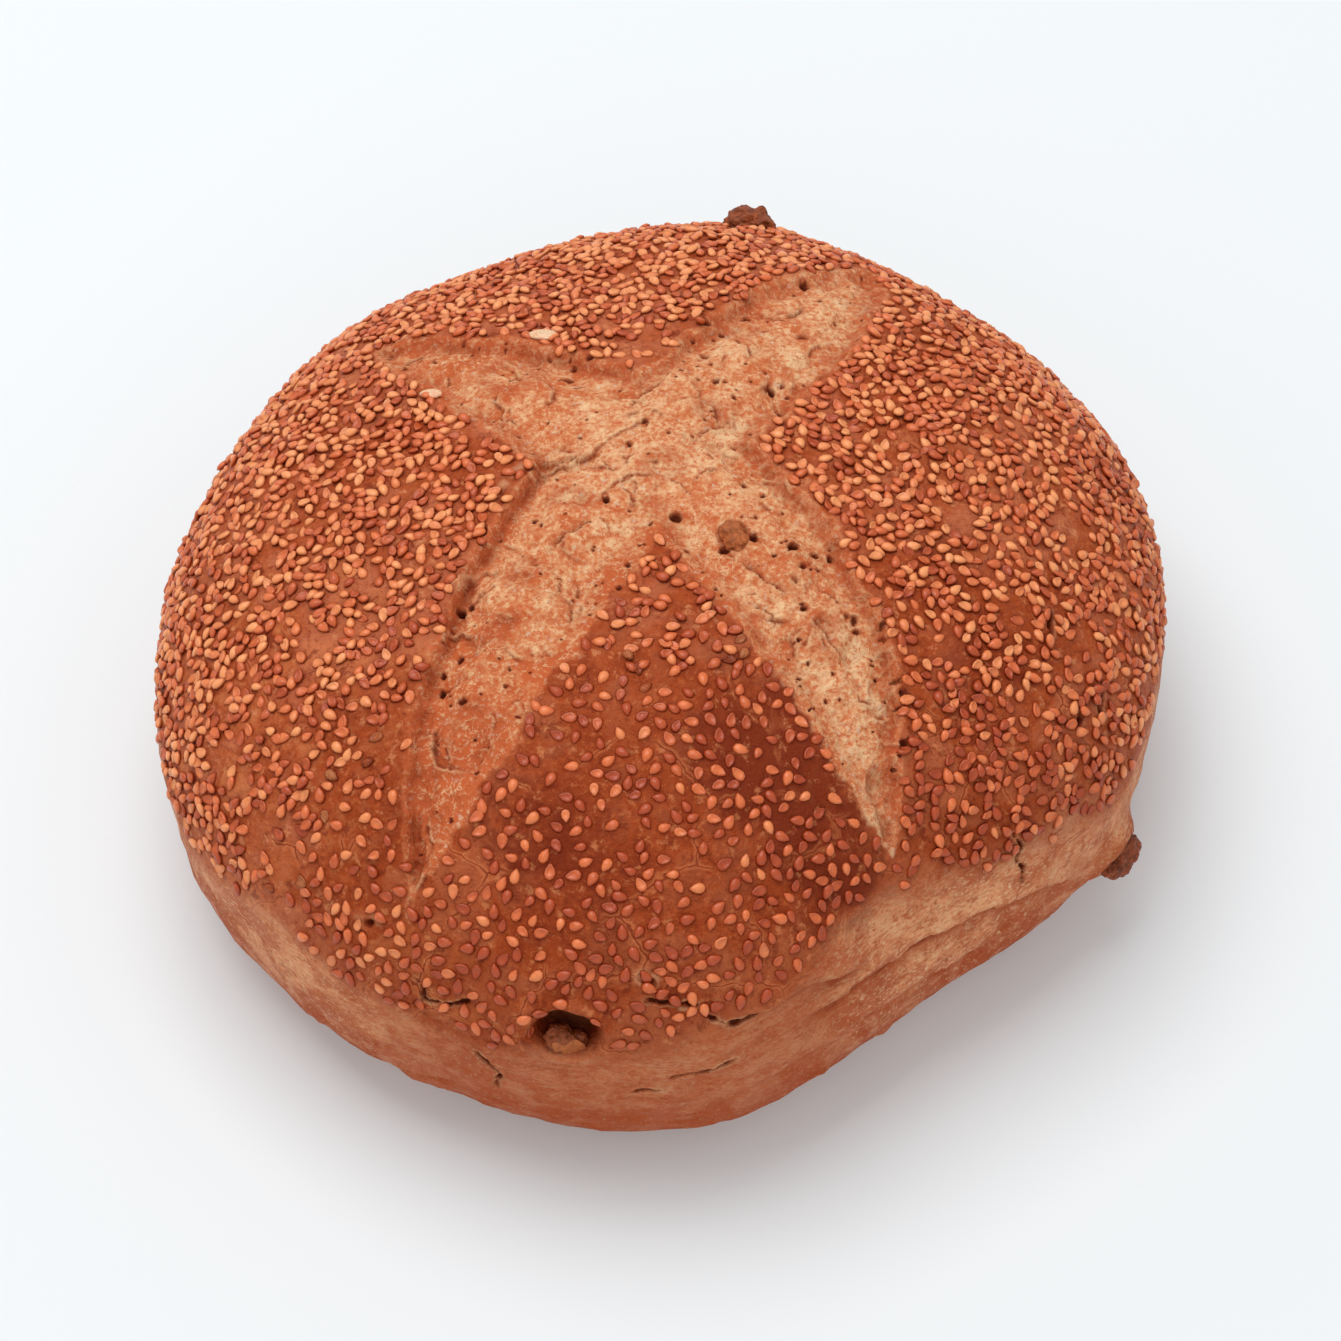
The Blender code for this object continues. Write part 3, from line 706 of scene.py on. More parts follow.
    def add_folds(self):
        for top, top_height, fall, first, last, depth in FOLDS:
            line = top_height - fall * angle_between(self.azimuth, top) ** 2
            above = self.points[:, 2] - line + FOLD_WAVE * np.sin(self.azimuth * FOLD_WAVES)
            middle, half = (first + last) / 2, (last - first) / 2
            strength = smooth_step((1 - np.abs(angle_between(self.azimuth, middle)) / half) / FOLD_END_SHARE)
            lower = -depth * bell(above, FOLD_LOWER_REACH) * smooth_step(-above / FOLD_EDGE)
            upper = FOLD_LIP * bell(above, FOLD_UPPER_REACH) * smooth_step(1 + above / FOLD_EDGE)
            self.relief += strength * (lower + upper)
            # Painted shade under the fold's lip, with a darker line where the fold shows from above
            seen = above + 1.2 * depth
            shade = 0.55 * np.exp(-np.maximum(-seen, 0) / CREASE_SHADE_FADE) * smooth_step(0.5 - above / FOLD_EDGE)
            shade += 0.45 * bell(seen, CREASE_SHADE_LINE)
            self.crease_shade = np.maximum(self.crease_shade, strength * shade * min(1, depth / 0.002))
        stretched = np.copy(self.points)
        stretched[:, 2] *= RIPPLE_FLATNESS
        self.stretch = smooth_step(
            1.5 - 1.5 * np.abs(angle_between(self.azimuth, STRETCH_MIDDLE)) / STRETCH_HALF
        ) * smooth_step(1.6 - 1.6 * np.abs(self.points[:, 2] - STRETCH_HEIGHT) / STRETCH_REACH)
        side = smooth_step((RIPPLE_TOP - self.points[:, 2]) / RIPPLE_FADE)
        chosen = side > 0.01
        for number, (size, rise) in enumerate(RIPPLES):
            ripple = rise * noise_at(stretched[chosen], size, SHIFTS["ripples"] + number)
            self.relief[chosen] += ripple * side[chosen]

    def local_plan(self, azimuth, lift):
        """Each point's place east, north and out from a spot on the crust."""
        spot = np.array(crust_spot(azimuth, lift).inverted())
        placed = self.points @ spot[:3, :3].T + spot[:3, 3]
        return placed[:, 0], placed[:, 1], placed[:, 2]

    def add_pocket(self):
        east, north, out = self.local_plan(POCKET_AZIMUTH, POCKET_LIFT)
        reach = np.hypot(east / POCKET_HALF_WIDTH, north / POCKET_HALF_HEIGHT)
        close = (reach < 2) & (np.abs(out) < POCKET_SLAB)
        ragged = reach[close] + 0.10 * noise_at(self.points[close], 0.0032, SHIFTS["pocket"])
        self.relief[close] -= POCKET_DEPTH * (1 - smooth_step((ragged - 0.55) / 0.5))
        self.relief[close] += POCKET_RIM * bell(ragged - 1.2, 0.22)
        # Painted shade inside the pocket
        raise_to(self.hollow_shade, close, 0.9 * (1 - smooth_step((ragged - 0.6) / 0.42)))

    def add_sockets(self):
        """Sink the crust under each walnut piece but the pocket's, and raise it round two of them."""
        for name, azimuth, lift, _, length, *_ in WALNUTS:
            east, north, out = self.local_plan(math.radians(azimuth), math.radians(lift))
            reach = np.sqrt(east**2 + north**2 + out**2) / length
            if name == "walnut_side":
                more_above = (1 + 0.8 * north / 0.006).clip(0, 2)
                self.relief += SIDE_COLLAR * bell(reach - 1.0, 0.6) * more_above
            if name == "walnut_rear":
                self.relief += REAR_COLLAR * bell(reach - 1.3, 0.4)
            share = SOCKET_SHARES[name]
            if share > 0:
                self.relief -= SOCKET_DEPTH * share * (1 - smooth_step((reach - 0.5) / 0.5))
                # Painted shade where the crust sinks under the piece
                self.hollow_shade = np.maximum(self.hollow_shade, 0.9 * share * (1 - smooth_step((reach - 0.85) / 0.3)))

    def add_knobs(self):
        for azimuth, lift, radius, rise in KNOBS:
            east, north, out = self.local_plan(math.radians(azimuth), math.radians(lift))
            reach = np.sqrt(east**2 + north**2 + out**2) / radius
            close = reach < 3
            ragged = reach[close] + 0.35 * noise_at(self.points[close], 0.0016, SHIFTS["knobs"])
            self.relief[close] += rise * bell(ragged, 1.0)
            raise_to(self.knob, close, bell(ragged, 1.0))

    def tone_from(self, patches):
        """Sum of soft round patches: plan x, plan y, reach, shift."""
        tone = np.zeros(len(self.points))
        for x, y, reach, shift in patches:
            tone += shift * np.exp(-((self.points[:, 0] - x) ** 2 + (self.points[:, 1] - y) ** 2) / reach**2)
        return tone

    def seed_share(self):
        """How thickly the seeds lie, from 0 to 1: where they touch, and where they lie apart."""
        plan = self.points[:, :2]
        total = np.full(len(plan), SEED_FAR_TOTAL)
        weight = np.full(len(plan), SEED_FAR_WEIGHT)
        for x, y, reach, share in SEED_PATCHES:
            pull = np.exp(-((plan[:, 0] - x) ** 2 + (plan[:, 1] - y) ** 2) / reach**2) + 1e-6
            total += pull * share
            weight += pull
        shift = SHIFTS["seeds"]
        patchy = 1 + 0.35 * noise_at(self.points, 0.014, shift)
        patchy += 0.25 * noise_at(self.points, 0.006, shift + 1)
        plain = total / weight
        share = np.clip(plain * patchy, 0, 1)
        spread = angle_between(self.azimuth, SEED_LIMIT_AZIMUTH) / SEED_LIMIT_SPREAD
        limit = SEED_LIMIT + SEED_LIMIT_RISE * np.exp(-0.5 * spread**2)
        limit += 0.004 * noise_at(self.points, 0.016, shift + 2)
        clear = smooth_step((self.points[:, 2] - limit) / SEED_LIMIT_FUZZ)
        self.bare = 1 - smooth_step((self.points[:, 2] - limit + BARE_BELOW_LIMIT) / BARE_FUZZ)
        clear *= smooth_step((self.edge + SEED_EDGE_OVERHANG) / SEED_EDGE_FUZZ)
        for x, y, reach in SEED_GAPS:
            clear *= 1 - np.exp(-((np.hypot(plan[:, 0] - x, plan[:, 1] - y) / reach) ** 4))
        clear *= 1 - smooth_step(self.hollow_shade * 4)
        clear = np.where(self.upper, clear, 0)
        close_set = smooth_step((plain - CLOSE_SET_FROM) / CLOSE_SET_FADE)
        return share * clear * close_set, clear * (1 - close_set) * np.clip(APART_SHARE * patchy, 0, 1)

    def work_out(self):
        self.add_lumps()
        self.add_cross()
        self.add_band_lumps()
        self.add_folds()
        self.add_holes([tuple(part / 1000 for part in hole) for hole in BAND_HOLES], 3)
        self.add_holes(small_pores(), 4)
        self.add_flaps(BAND_FLAPS, SHIFTS["flaps"])
        self.add_flaps(short_flaps(), SHIFTS["short flaps"])
        self.add_tears()
        self.add_pocket()
        self.add_sockets()
        self.add_knobs()
        self.relief *= smooth_step(self.points[:, 2] / SMOOTH_BELOW)
        above = self.points[:, 2] + self.relief - CROWN_EASED_ABOVE
        self.relief -= CROWN_EASE * np.maximum(above, 0)


def small_pores():
    """Fine pores strewn over the band by chance."""
    draw = random.Random(PORE_RANDOM)
    pores = []
    while len(pores) < SMALL_PORE_COUNT:
        x, y = draw.uniform(*CROSS_SPAN_X), draw.uniform(*CROSS_SPAN_Y)
        radius = draw.uniform(*SMALL_PORE_RADII)
        edge = cross_field(np.array([x]), np.array([y]))[0][0]
        if edge < -0.001 and draw.random() < 0.35 + 0.65 * math.exp(edge / 0.006):
            pores.append((x, y, radius, PORE_DEPTH_SHARE * radius))
    return pores


def short_flaps():
    """Short arcs of torn skin in the band, in the form of BAND_FLAPS."""
    draw = random.Random(SHORT_FLAP_RANDOM)
    flaps = []
    while len(flaps) < SHORT_FLAP_COUNT:
        x, y = (1000 * draw.uniform(*span) for span in (CROSS_SPAN_X, CROSS_SPAN_Y))
        radius, start = draw.uniform(*SHORT_FLAP_RADII), draw.uniform(0, 2 * math.pi)
        sweep = draw.uniform(*SHORT_FLAP_TURNS) * draw.choice((-1, 1))
        rise, width = draw.uniform(*SHORT_FLAP_RISES), draw.uniform(*SHORT_FLAP_WIDTHS)
        if cross_field(np.array([x / 1000]), np.array([y / 1000]))[0][0] > -SHORT_FLAP_INSET:
            continue
        angles = [start + sweep * step / 3 for step in range(4)]
        places = tuple((x + radius * math.cos(angle), y + radius * math.sin(angle)) for angle in angles)
        flaps.append((places, rise, width))
    return flaps


def crust_spot(azimuth, lift, offset=0.0, turn=0.0):
    """Place on the plain loaf: X points east, Y up the crust and Z out, and turn is about Z."""
    step = 0.001

    def at(a, b):
        return Vector(dome_points(np.array([a]), np.array([b]))[0])

    middle = at(azimuth, lift)
    east = (at(azimuth + step, lift) - at(azimuth - step, lift)).normalized()
    north = (at(azimuth, lift + step) - at(azimuth, lift - step)).normalized()
    outwards = east.cross(north).normalized()
    north = outwards.cross(east)
    axes = Matrix((east, north, outwards)).transposed().to_4x4()
    return Matrix.Translation(middle + outwards * offset) @ axes @ Matrix.Rotation(turn, 4, "Z")


def settled_spot(azimuth, lift, offset, turn, coat):
    """As crust_spot, on the crust with all its relief."""
    spot = crust_spot(azimuth, lift)
    skin = Skin(np.array([spot.translation[:]]))
    skin.work_out()
    return crust_spot(azimuth, lift, skin.relief[0] - coat + offset, turn)


def new_piece(name, bm, material=None):
    """An object at the origin whose place is in its mesh, shaded smooth."""
    mesh = bpy.data.meshes.new(name)
    bm.normal_update()
    bm.to_mesh(mesh)
    bm.free()
    mesh.shade_smooth()
    piece = bpy.data.objects.new(name, mesh)
    bpy.context.scene.collection.objects.link(piece)
    if material is not None:
        mesh.materials.append(material)
    return piece


def store(mesh, name, values):
    attribute = mesh.attributes.new(name, "FLOAT", "POINT")
    attribute.data.foreach_set("value", np.asarray(values, dtype=np.float32))


def sphere_places(bm):
    directions = np.array([vertex.co.normalized()[:] for vertex in bm.verts])
    azimuth = np.arctan2(directions[:, 1], directions[:, 0])
    lift = np.arcsin(np.clip(directions[:, 2], -1, 1))
    return dome_points(azimuth, lift)


def refine(bm, chosen):
    """Split every edge that touches a chosen point, and keep triangles."""
    marks = chosen.tolist()
    edges = [edge for edge in bm.edges if marks[edge.verts[0].index] or marks[edge.verts[1].index]]
    bmesh.ops.subdivide_edges(bm, edges=edges, cuts=1)
    bmesh.ops.triangulate(bm, faces=[face for face in bm.faces if len(face.verts) > 3])
    for vertex in bm.verts:
        vertex.co.normalize()
    bm.verts.index_update()
    bm.verts.ensure_lookup_table()


def inside_cross(places, beyond):
    """Which points lie in the cross, or closer to its edge than the given distance."""
    edge = cross_field(places[:, 0], places[:, 1])[0]
    return (edge < beyond) & (places[:, 2] > BELLY_HEIGHT)


def close_to_tears(places, reach):
    skin = Skin(places)
    chosen = np.zeros(len(places), dtype=bool)
    for points, *_ in CRUST_TEARS:
        angles = np.radians(np.array(points))
        chosen |= skin.line_field(dome_points(angles[:, 0], angles[:, 1]))[0] < reach
    east, north, out = skin.local_plan(POCKET_AZIMUTH, POCKET_LIFT)
    return chosen | (np.hypot(east, north) < POCKET_FINE + 1.5 * reach) & (np.abs(out) < POCKET_SLAB)


def crust_mesh():
    """A sphere drawn to the loaf's form, with finer triangles where the relief is fine."""
    bm = bmesh.new()
    bmesh.ops.create_icosphere(bm, subdivisions=6, radius=1)
    bm.verts.index_update()
    places = sphere_places(bm)
    azimuth = np.arctan2(places[:, 1], places[:, 0])
    front = np.abs(angle_between(azimuth, FINE_AZIMUTH)) < FINE_HALF
    refine(bm, (places[:, 2] > FINE_ABOVE) | (front & (places[:, 2] > FINE_FRONT_ABOVE)))
    places = sphere_places(bm)
    refine(bm, inside_cross(places, 0.0010) | close_to_tears(places, 0.0040))
    refine(bm, inside_cross(sphere_places(bm), 0.0004))
    refine(bm, close_to_tears(sphere_places(bm), 0.0016))
    return bm


def make_crust_object(coat):
    bm = crust_mesh()
    skin = Skin(sphere_places(bm))
    for vertex, place in zip(bm.verts, skin.points):
        vertex.co = place
    bm.normal_update()
    normals = np.array([vertex.normal[:] for vertex in bm.verts])
    skin.work_out()
    moved = skin.points + normals * (skin.relief - coat)[:, None]
    moved[:, 2] = np.maximum(moved[:, 2], 0)
    moved += np.array(LOAF_MIDDLE)
    for vertex, place in zip(bm.verts, moved):
        vertex.co = place
    crust = new_piece("crust", bm)
    close, apart = skin.seed_share()
    # Some of these masks carry painted shade: in holes, tears and the pocket, under the folds' lips, and on
    # the cross's walls
    for name in ("band", "hollow_shade", "pale", "stretch", "crease_shade", "knob", "brown_and_shade", "bare"):
        store(crust.data, name, getattr(skin, name))
    store(crust.data, "inside", skin.inside * 1000)
    store(crust.data, "toast_and_painted_light", skin.tone_from(CRUST_TONES))
    store(crust.data, "tone", skin.tone_from(BAND_TONES))
    store(crust.data, "seeds_close", close)
    store(crust.data, "seeds_apart", apart)
    return crust


def feed(tree, socket, value):
    """Link a socket to another one, or set it to a value."""
    if isinstance(value, bpy.types.NodeSocket):
        tree.links.new(value, socket)
    else:
        socket.default_value = value


def add_node(tree, kind, values=None, **settings):
    node = tree.nodes.new(kind)
    for key, value in settings.items():
        setattr(node, key, value)
    for key, value in (values or {}).items():
        feed(tree, node.inputs[key], value)
    return node


class Paint:
    """One material's nodes, built a node at a time."""

    def __init__(self, name):
        self.material = bpy.data.materials.new(name)
        self.material.use_nodes = True
        self.tree = self.material.node_tree
        self.shader = self.tree.nodes["Principled BSDF"]
        self.place = self.node("ShaderNodeTexCoord").outputs["Object"]

    def node(self, kind, values=None, **settings):
        return add_node(self.tree, kind, values, **settings)

    def feed(self, socket, value):
        feed(self.tree, socket, value)

    def stretched(self, scale):
        return self.node("ShaderNodeMapping", {"Vector": self.place, "Scale": scale}).outputs["Vector"]

    def noise(self, size, detail=3.0, rough=0.55, twist=0.0, place=None):
        values = {
            "Vector": self.place if place is None else place,
            "Scale": 1 / size,
            "Detail": detail,
            "Roughness": rough,
            "Distortion": twist,
        }
        return self.node("ShaderNodeTexNoise", values).outputs["Fac"]

    def attribute(self, name):
        return self.node("ShaderNodeAttribute", attribute_name=name).outputs["Fac"]

    def ramp(self, share, *stops):
        node = self.node("ShaderNodeValToRGB", {"Fac": share})
        elements = node.color_ramp.elements
        while len(elements) < len(stops):
            elements.new(1.0)
        for element, (position, colour) in zip(elements, stops):
            element.position = position
            element.color = (*colour, 1)
        return node.outputs["Color"]

    def window(self, value, low, high, first=0.0, last=1.0):
        values = {"Value": value, "From Min": low, "From Max": high, "To Min": first, "To Max": last}
        return self.node("ShaderNodeMapRange", values, interpolation_type="SMOOTHSTEP").outputs["Result"]

    def maths(self, operation, first, second=0.0):
        return self.node("ShaderNodeMath", {0: first, 1: second}, operation=operation).outputs[0]

    def plus(self, first, second):
        return self.maths("ADD", first, second)

    def times(self, first, second):
        return self.maths("MULTIPLY", first, second)

    def mix(self, share, first, second, blend="MIX"):
        node = self.node("ShaderNodeMix", data_type="RGBA", blend_type=blend)
        self.feed(node.inputs["Factor"], share)
        for socket, value in ((node.inputs[6], first), (node.inputs[7], second)):
            self.feed(socket, value if isinstance(value, bpy.types.NodeSocket) else (*value, 1))
        return node.outputs[2]

    def bump(self, height, distance, strength=1.0, below=None):
        values = {"Height": height, "Distance": distance, "Strength": strength}
        if below is not None:
            values["Normal"] = below
        return self.node("ShaderNodeBump", values).outputs["Normal"]

    def painted_gap_shade(self, colour, shade, reach):
        """Painted shade: deepen a colour where other surfaces stand close round it."""
        node = self.node("ShaderNodeAmbientOcclusion", {"Distance": reach}, samples=2)
        open_share = self.window(node.outputs["AO"], 0.35, 0.9)
        deep = self.mix(1.0, colour, shade, "MULTIPLY")
        return self.mix(open_share, deep, colour)

    def finish(self, colour, roughness, normal=None, specular=0.5):
        self.feed(self.shader.inputs["Base Color"], colour)
        self.feed(self.shader.inputs["Roughness"], roughness)
        self.shader.inputs["Specular IOR Level"].default_value = specular
        if normal is not None:
            self.feed(self.shader.inputs["Normal"], normal)
        return self.material


def scaled(colour, share):
    return tuple(share * part for part in colour)


def between(first, second):
    return tuple(0.5 * (one + other) for one, other in zip(first, second))


def crack_lines(paint, front, band):
    """Thin broken lines of a crust that split as it cooled, and the pale edges beside them."""
    warp = paint.node("ShaderNodeTexNoise", {"Vector": paint.place, "Scale": 110.0, "Detail": 3.0})
    shifted = paint.node(
        "ShaderNodeVectorMath",
        {0: warp.outputs["Color"], 1: (0.009, 0.009, 0.009), 2: paint.place},
        operation="MULTIPLY_ADD",
    )
    cells = paint.node(
        "ShaderNodeTexVoronoi", {"Vector": shifted.outputs[0], "Scale": 44.0}, feature="DISTANCE_TO_EDGE"
    )
    away = cells.outputs["Distance"]
    wanted = paint.plus(paint.times(front, 0.16), paint.noise(0.016, 2.0))
    broken = paint.window(wanted, 0.56, 0.66)
    broken = paint.times(broken, paint.maths("SUBTRACT", 1.0, band))
    line = paint.times(paint.window(away, 0.003, 0.010, 1.0, 0.0), broken)
    pale = paint.times(paint.window(away, 0.012, 0.040, 1.0, 0.0), broken)
    return line, pale


def crust_material(colours):
    paint = Paint("crust")
    band, hollow_shade = paint.attribute("band"), paint.attribute("hollow_shade")
    pale, stretch = paint.attribute("pale"), paint.attribute("stretch")
    height = paint.node("ShaderNodeSeparateXYZ", {"Vector": paint.place})

    broad = paint.noise(0.030, 3.0, 0.6)
    patches = paint.noise(0.0075, 4.0, 0.6, 0.4)
    fine = paint.noise(0.0011, 4.0, 0.65)
    crust = paint.ramp(
        paint.plus(paint.times(broad, 0.55), paint.times(patches, 0.45)),
        (0.30, colours.deep),
        (0.46, colours.toast),
        (0.56, colours.dull),
        (0.70, colours.gold),
    )
    crust = paint.mix(paint.window(fine, 0.52, 0.72, 0.0, 0.55), crust, colours.gold)
    crust = paint.mix(paint.window(fine, 0.48, 0.28, 0.0, 0.6), crust, colours.deep)
    front = paint.window(height.outputs["Y"], -0.02, -0.085)
    front = paint.times(front, paint.window(height.outputs["X"], -0.085, -0.045))
    ragged_tone = paint.window(patches, 0.35, 0.65, -0.30, 0.30)
    # Toast, and in some patches painted light and shade
    ragged_tone = paint.plus(paint.attribute("toast_and_painted_light"), ragged_tone)
    crust = paint.mix(paint.window(ragged_tone, 0.15, 0.85, 0.0, 0.92), crust, colours.deep)
    crust = paint.mix(paint.window(ragged_tone, -0.10, -0.60, 0.0, 0.75), crust, colours.gold)
    dust = paint.noise(0.0028, 4.0, 0.7)
    crust = paint.mix(paint.window(dust, 0.56, 0.68, 0.0, 0.50), crust, colours.stretch)
    scorch = paint.noise(0.0040, 4.0, 0.7, 0.3)
    crust = paint.mix(paint.window(scorch, 0.44, 0.32, 0.0, 0.75), crust, colours.deep)
    crust = paint.mix(paint.times(front, 0.75), crust, (0.80, 0.67, 0.50), "MULTIPLY")
    line, line_edge = crack_lines(paint, front, band)
    crust = paint.mix(paint.times(line_edge, 0.40), crust, colours.gold)
    crust = paint.mix(paint.times(line, 0.85), crust, colours.deep)

    flow = paint.noise(0.0085, 4.0, 0.6, 0.3)
    mottle = paint.noise(0.0030, 5.0, 0.68, 0.2)
    grain = paint.noise(0.0010, 4.0, 0.62)
    shade = paint.plus(paint.times(flow, 0.40), paint.times(mottle, 0.35))
    shade = paint.plus(shade, paint.times(grain, 0.25))
    inner = paint.window(paint.attribute("inside"), 0.5, 6.0, -0.035, 0.008)
    shade = paint.plus(shade, inner)
    shade = paint.plus(shade, paint.attribute("tone"))
    cut = paint.ramp(
        shade,
        (0.42, colours.band_red),
        (0.48, between(colours.band_red, colours.band_tan)),
        (0.53, colours.band_tan),
        (0.62, colours.band_cream),
    )
    cut = paint.mix(paint.window(grain, 0.53, 0.66, 0.0, 0.60), cut, colours.band_cream)
    cut = paint.mix(paint.window(grain, 0.48, 0.34, 0.0, 0.75), cut, colours.band_red)
    for size, share, tint in (
        (0.0060, 0.65, colours.band_cream),
        (0.0045, 0.80, colours.band_red),
        (0.0026, 0.65, colours.band_red),
    ):
        ridge = paint.noise(size, 4.0, 0.6, 0.8)
        away = paint.maths("ABSOLUTE", paint.maths("SUBTRACT", ridge, 0.5))
        thread = paint.window(away, 0.004, 0.016, share, 0.0)
        broken = paint.window(paint.noise(1.3 * size, 2.0, 0.5), 0.50, 0.58)
        cut = paint.mix(paint.times(thread, broken), cut, tint)
    specks = paint.noise(0.0016, 3.0, 0.6)
    cut = paint.mix(paint.window(specks, 0.62, 0.70, 0.0, 0.55), cut, colours.flour)
    # Browned skin and painted shade on the walls, on the low sides of flaps and round holes
    brown_and_shade = paint.times(paint.attribute("brown_and_shade"), paint.window(mottle, 0.30, 0.60, 1.0, 0.55))
    cut = paint.mix(paint.times(brown_and_shade, 0.8), cut, colours.scorch_and_shade)
    # Tiny pores painted as dark spots of shade
    dots = paint.node("ShaderNodeTexVoronoi", {"Vector": paint.place, "Scale": 330.0}, feature="F1")
    spots = paint.window(dots.outputs["Distance"], 0.05, 0.12, 1.0, 0.0)
    spots = paint.times(spots, paint.window(paint.noise(0.004, 2.0), 0.50, 0.60))
    cut = paint.mix(paint.times(spots, 0.75), cut, colours.hollow_shade)

    streaks = paint.noise(0.016, 5.0, 0.66, 0.2, paint.stretched((1.0, 1.0, 2.2)))
    side = paint.ramp(
        streaks,
        (0.34, colours.toast),
        (0.43, colours.dull),
        (0.53, colours.stretch),
        (0.72, colours.band_cream),
    )
    side = paint.mix(0.25, side, colours.stretch)
    marks = paint.noise(0.0016, 3.0, 0.6, 0.2, paint.stretched((1.0, 1.0, 3.0)))
    side = paint.mix(paint.window(marks, 0.55, 0.66, 0.0, 0.75), side, colours.band_cream)
    side = paint.mix(paint.window(marks, 0.46, 0.34, 0.0, 0.75), side, colours.dull)
    side = paint.mix(paint.window(specks, 0.36, 0.28, 0.0, 0.6), side, colours.deep)
    side_share = paint.maths("MAXIMUM", paint.times(paint.attribute("bare"), 0.85), stretch)
    redder = paint.window(height.outputs["Z"], 0.040, 0.012, -0.05, 0.92)
    redder = paint.plus(redder, paint.window(patches, 0.40, 0.62, -0.25, 0.35))
    side = paint.mix(paint.maths("MAXIMUM", redder, 0.0), side, colours.toast)
    blots = paint.noise(0.0042, 4.0, 0.7, 0.2, paint.stretched((1.0, 1.0, 1.8)))
    side = paint.mix(paint.window(blots, 0.45, 0.32, 0.0, 0.70), side, colours.toast)
    side = paint.mix(paint.window(blots, 0.57, 0.70, 0.0, 0.35), side, colours.band_cream)
    flecks = paint.noise(0.0009, 3.0, 0.6, 0.0, paint.stretched((1.0, 1.0, 1.6)))
    side = paint.mix(paint.window(flecks, 0.57, 0.66, 0.0, 0.60), side, colours.band_cream)
    side = paint.mix(paint.window(flecks, 0.43, 0.34, 0.0, 0.60), side, colours.band_red)
    side = paint.mix(paint.window(height.outputs["Y"], -0.084, -0.099, 0.0, 0.55), side, colours.toast)
    # Painted shade under the folds' lips, darkest along the fold line
    crease_shade = paint.attribute("crease_shade")
    side = paint.mix(paint.window(crease_shade, 0.0, 0.6, 0.0, 0.7), side, colours.toast)
    side = paint.mix(paint.window(crease_shade, 0.5, 1.0, 0.0, 0.8), side, colours.deep)
    crust = paint.mix(side_share, crust, side)

    colour = paint.mix(band, crust, cut)
    colour = paint.mix(paint.times(paint.attribute("knob"), 0.7), colour, colours.toast)
    colour = paint.mix(paint.times(pale, 0.75), colour, colours.band_cream)
    # Painted shade in holes, tears, the pocket, under walnut pieces and below flap edges
    colour = paint.mix(paint.window(hollow_shade, 0.05, 0.60, 0.0, 0.85), colour, colours.deep)
    colour = paint.mix(paint.window(hollow_shade, 0.55, 0.95), colour, colours.hollow_shade)
    # Painted contact shade round the seeds and in the crust's dips
    colour = paint.painted_gap_shade(colour, (0.40, 0.22, 0.15), 0.0025)

    rough = paint.window(patches, 0.35, 0.65, 0.42, 0.62)
    rough = paint.plus(rough, paint.times(band, 0.12))
    skin = paint.plus(paint.times(fine, 0.5), paint.times(patches, 0.5))
    crumb = paint.plus(paint.times(grain, 0.5), paint.times(mottle, 0.5))
    relief = paint.node("ShaderNodeMix", {"Factor": band, 2: skin, 3: crumb}, data_type="FLOAT").outputs[0]
    normal = paint.bump(relief, 0.0016, 0.8)
    return paint.finish(colour, rough, normal, 0.10)


def seed_material(colours):
    paint = Paint("sesame")
    tone, tip = paint.attribute("tone"), paint.attribute("tip")
    mottle = paint.noise(0.0012, 3.0, 0.6)
    region = paint.noise(0.022, 2.0, 0.5)
    share = paint.plus(paint.times(tone, 0.62), paint.times(mottle, 0.34))
    share = paint.plus(share, paint.times(region, 0.22))
    place = paint.node("ShaderNodeSeparateXYZ", {"Vector": paint.place})
    # Seeds darker towards the front and lighter towards the back and the left: partly toast, partly painted
    # light where the light falls
    share = paint.plus(share, paint.window(place.outputs["Y"], -0.020, -0.060, 0.02, -0.10))
    front = paint.window(place.outputs["Y"], -0.030, -0.055)
    front = paint.times(front, paint.window(place.outputs["X"], -0.065, -0.035, 0.0, -0.12))
    share = paint.plus(share, front)
    share = paint.plus(share, paint.window(place.outputs["Y"], 0.02, 0.07, 0.0, 0.08))
    share = paint.plus(share, paint.window(place.outputs["X"], -0.055, -0.080, 0.0, 0.08))
    stops = (0.28, colours.seed_dark), (0.56, colours.seed_mid), (0.88, colours.seed_light)
    colour = paint.ramp(share, *stops)
    colour = paint.mix(paint.times(tip, 0.45), colour, colours.seed_dark)
    # Painted contact shade where the seeds touch the crust and each other
    colour = paint.painted_gap_shade(colour, (0.50, 0.28, 0.20), 0.0016)
    normal = paint.bump(paint.noise(0.0005, 2.0, 0.5), 0.0002, 0.35)
    return paint.finish(colour, 0.34, normal, 0.42)


def walnut_material(colours):
    paint = Paint("walnut")
    broken = paint.attribute("broken")
    mottle = paint.noise(0.0014, 4.0, 0.65, 0.5)
    skin = paint.ramp(
        mottle,
        (0.35, colours.walnut_dark),
        (0.62, scaled(colours.walnut_dark, 2.6)),
        (0.80, scaled(colours.walnut_dark, 4.5)),
    )
    flesh = paint.ramp(mottle, (0.35, scaled(colours.walnut_light, 0.6)), (0.65, colours.walnut_light))
    colour = paint.mix(broken, skin, flesh)
    normal = paint.bump(paint.noise(0.0006, 3.0, 0.6), 0.0003, 0.6)
    return paint.finish(colour, paint.window(mottle, 0.3, 0.7, 0.36, 0.6), normal, 0.20)


def kernel_material(colours):
    paint = Paint("kernel")
    stripe = paint.attribute("stripe")
    colour = paint.mix(paint.window(stripe, 0.35, 0.65), scaled(colours.kernel, 0.78), colours.kernel)
    colour = paint.mix(paint.window(paint.noise(0.002), 0.5, 0.7, 0.0, 0.4), colour, colours.seed_mid)
    return paint.finish(colour, 0.5, paint.bump(paint.noise(0.0006), 0.0002, 0.4))


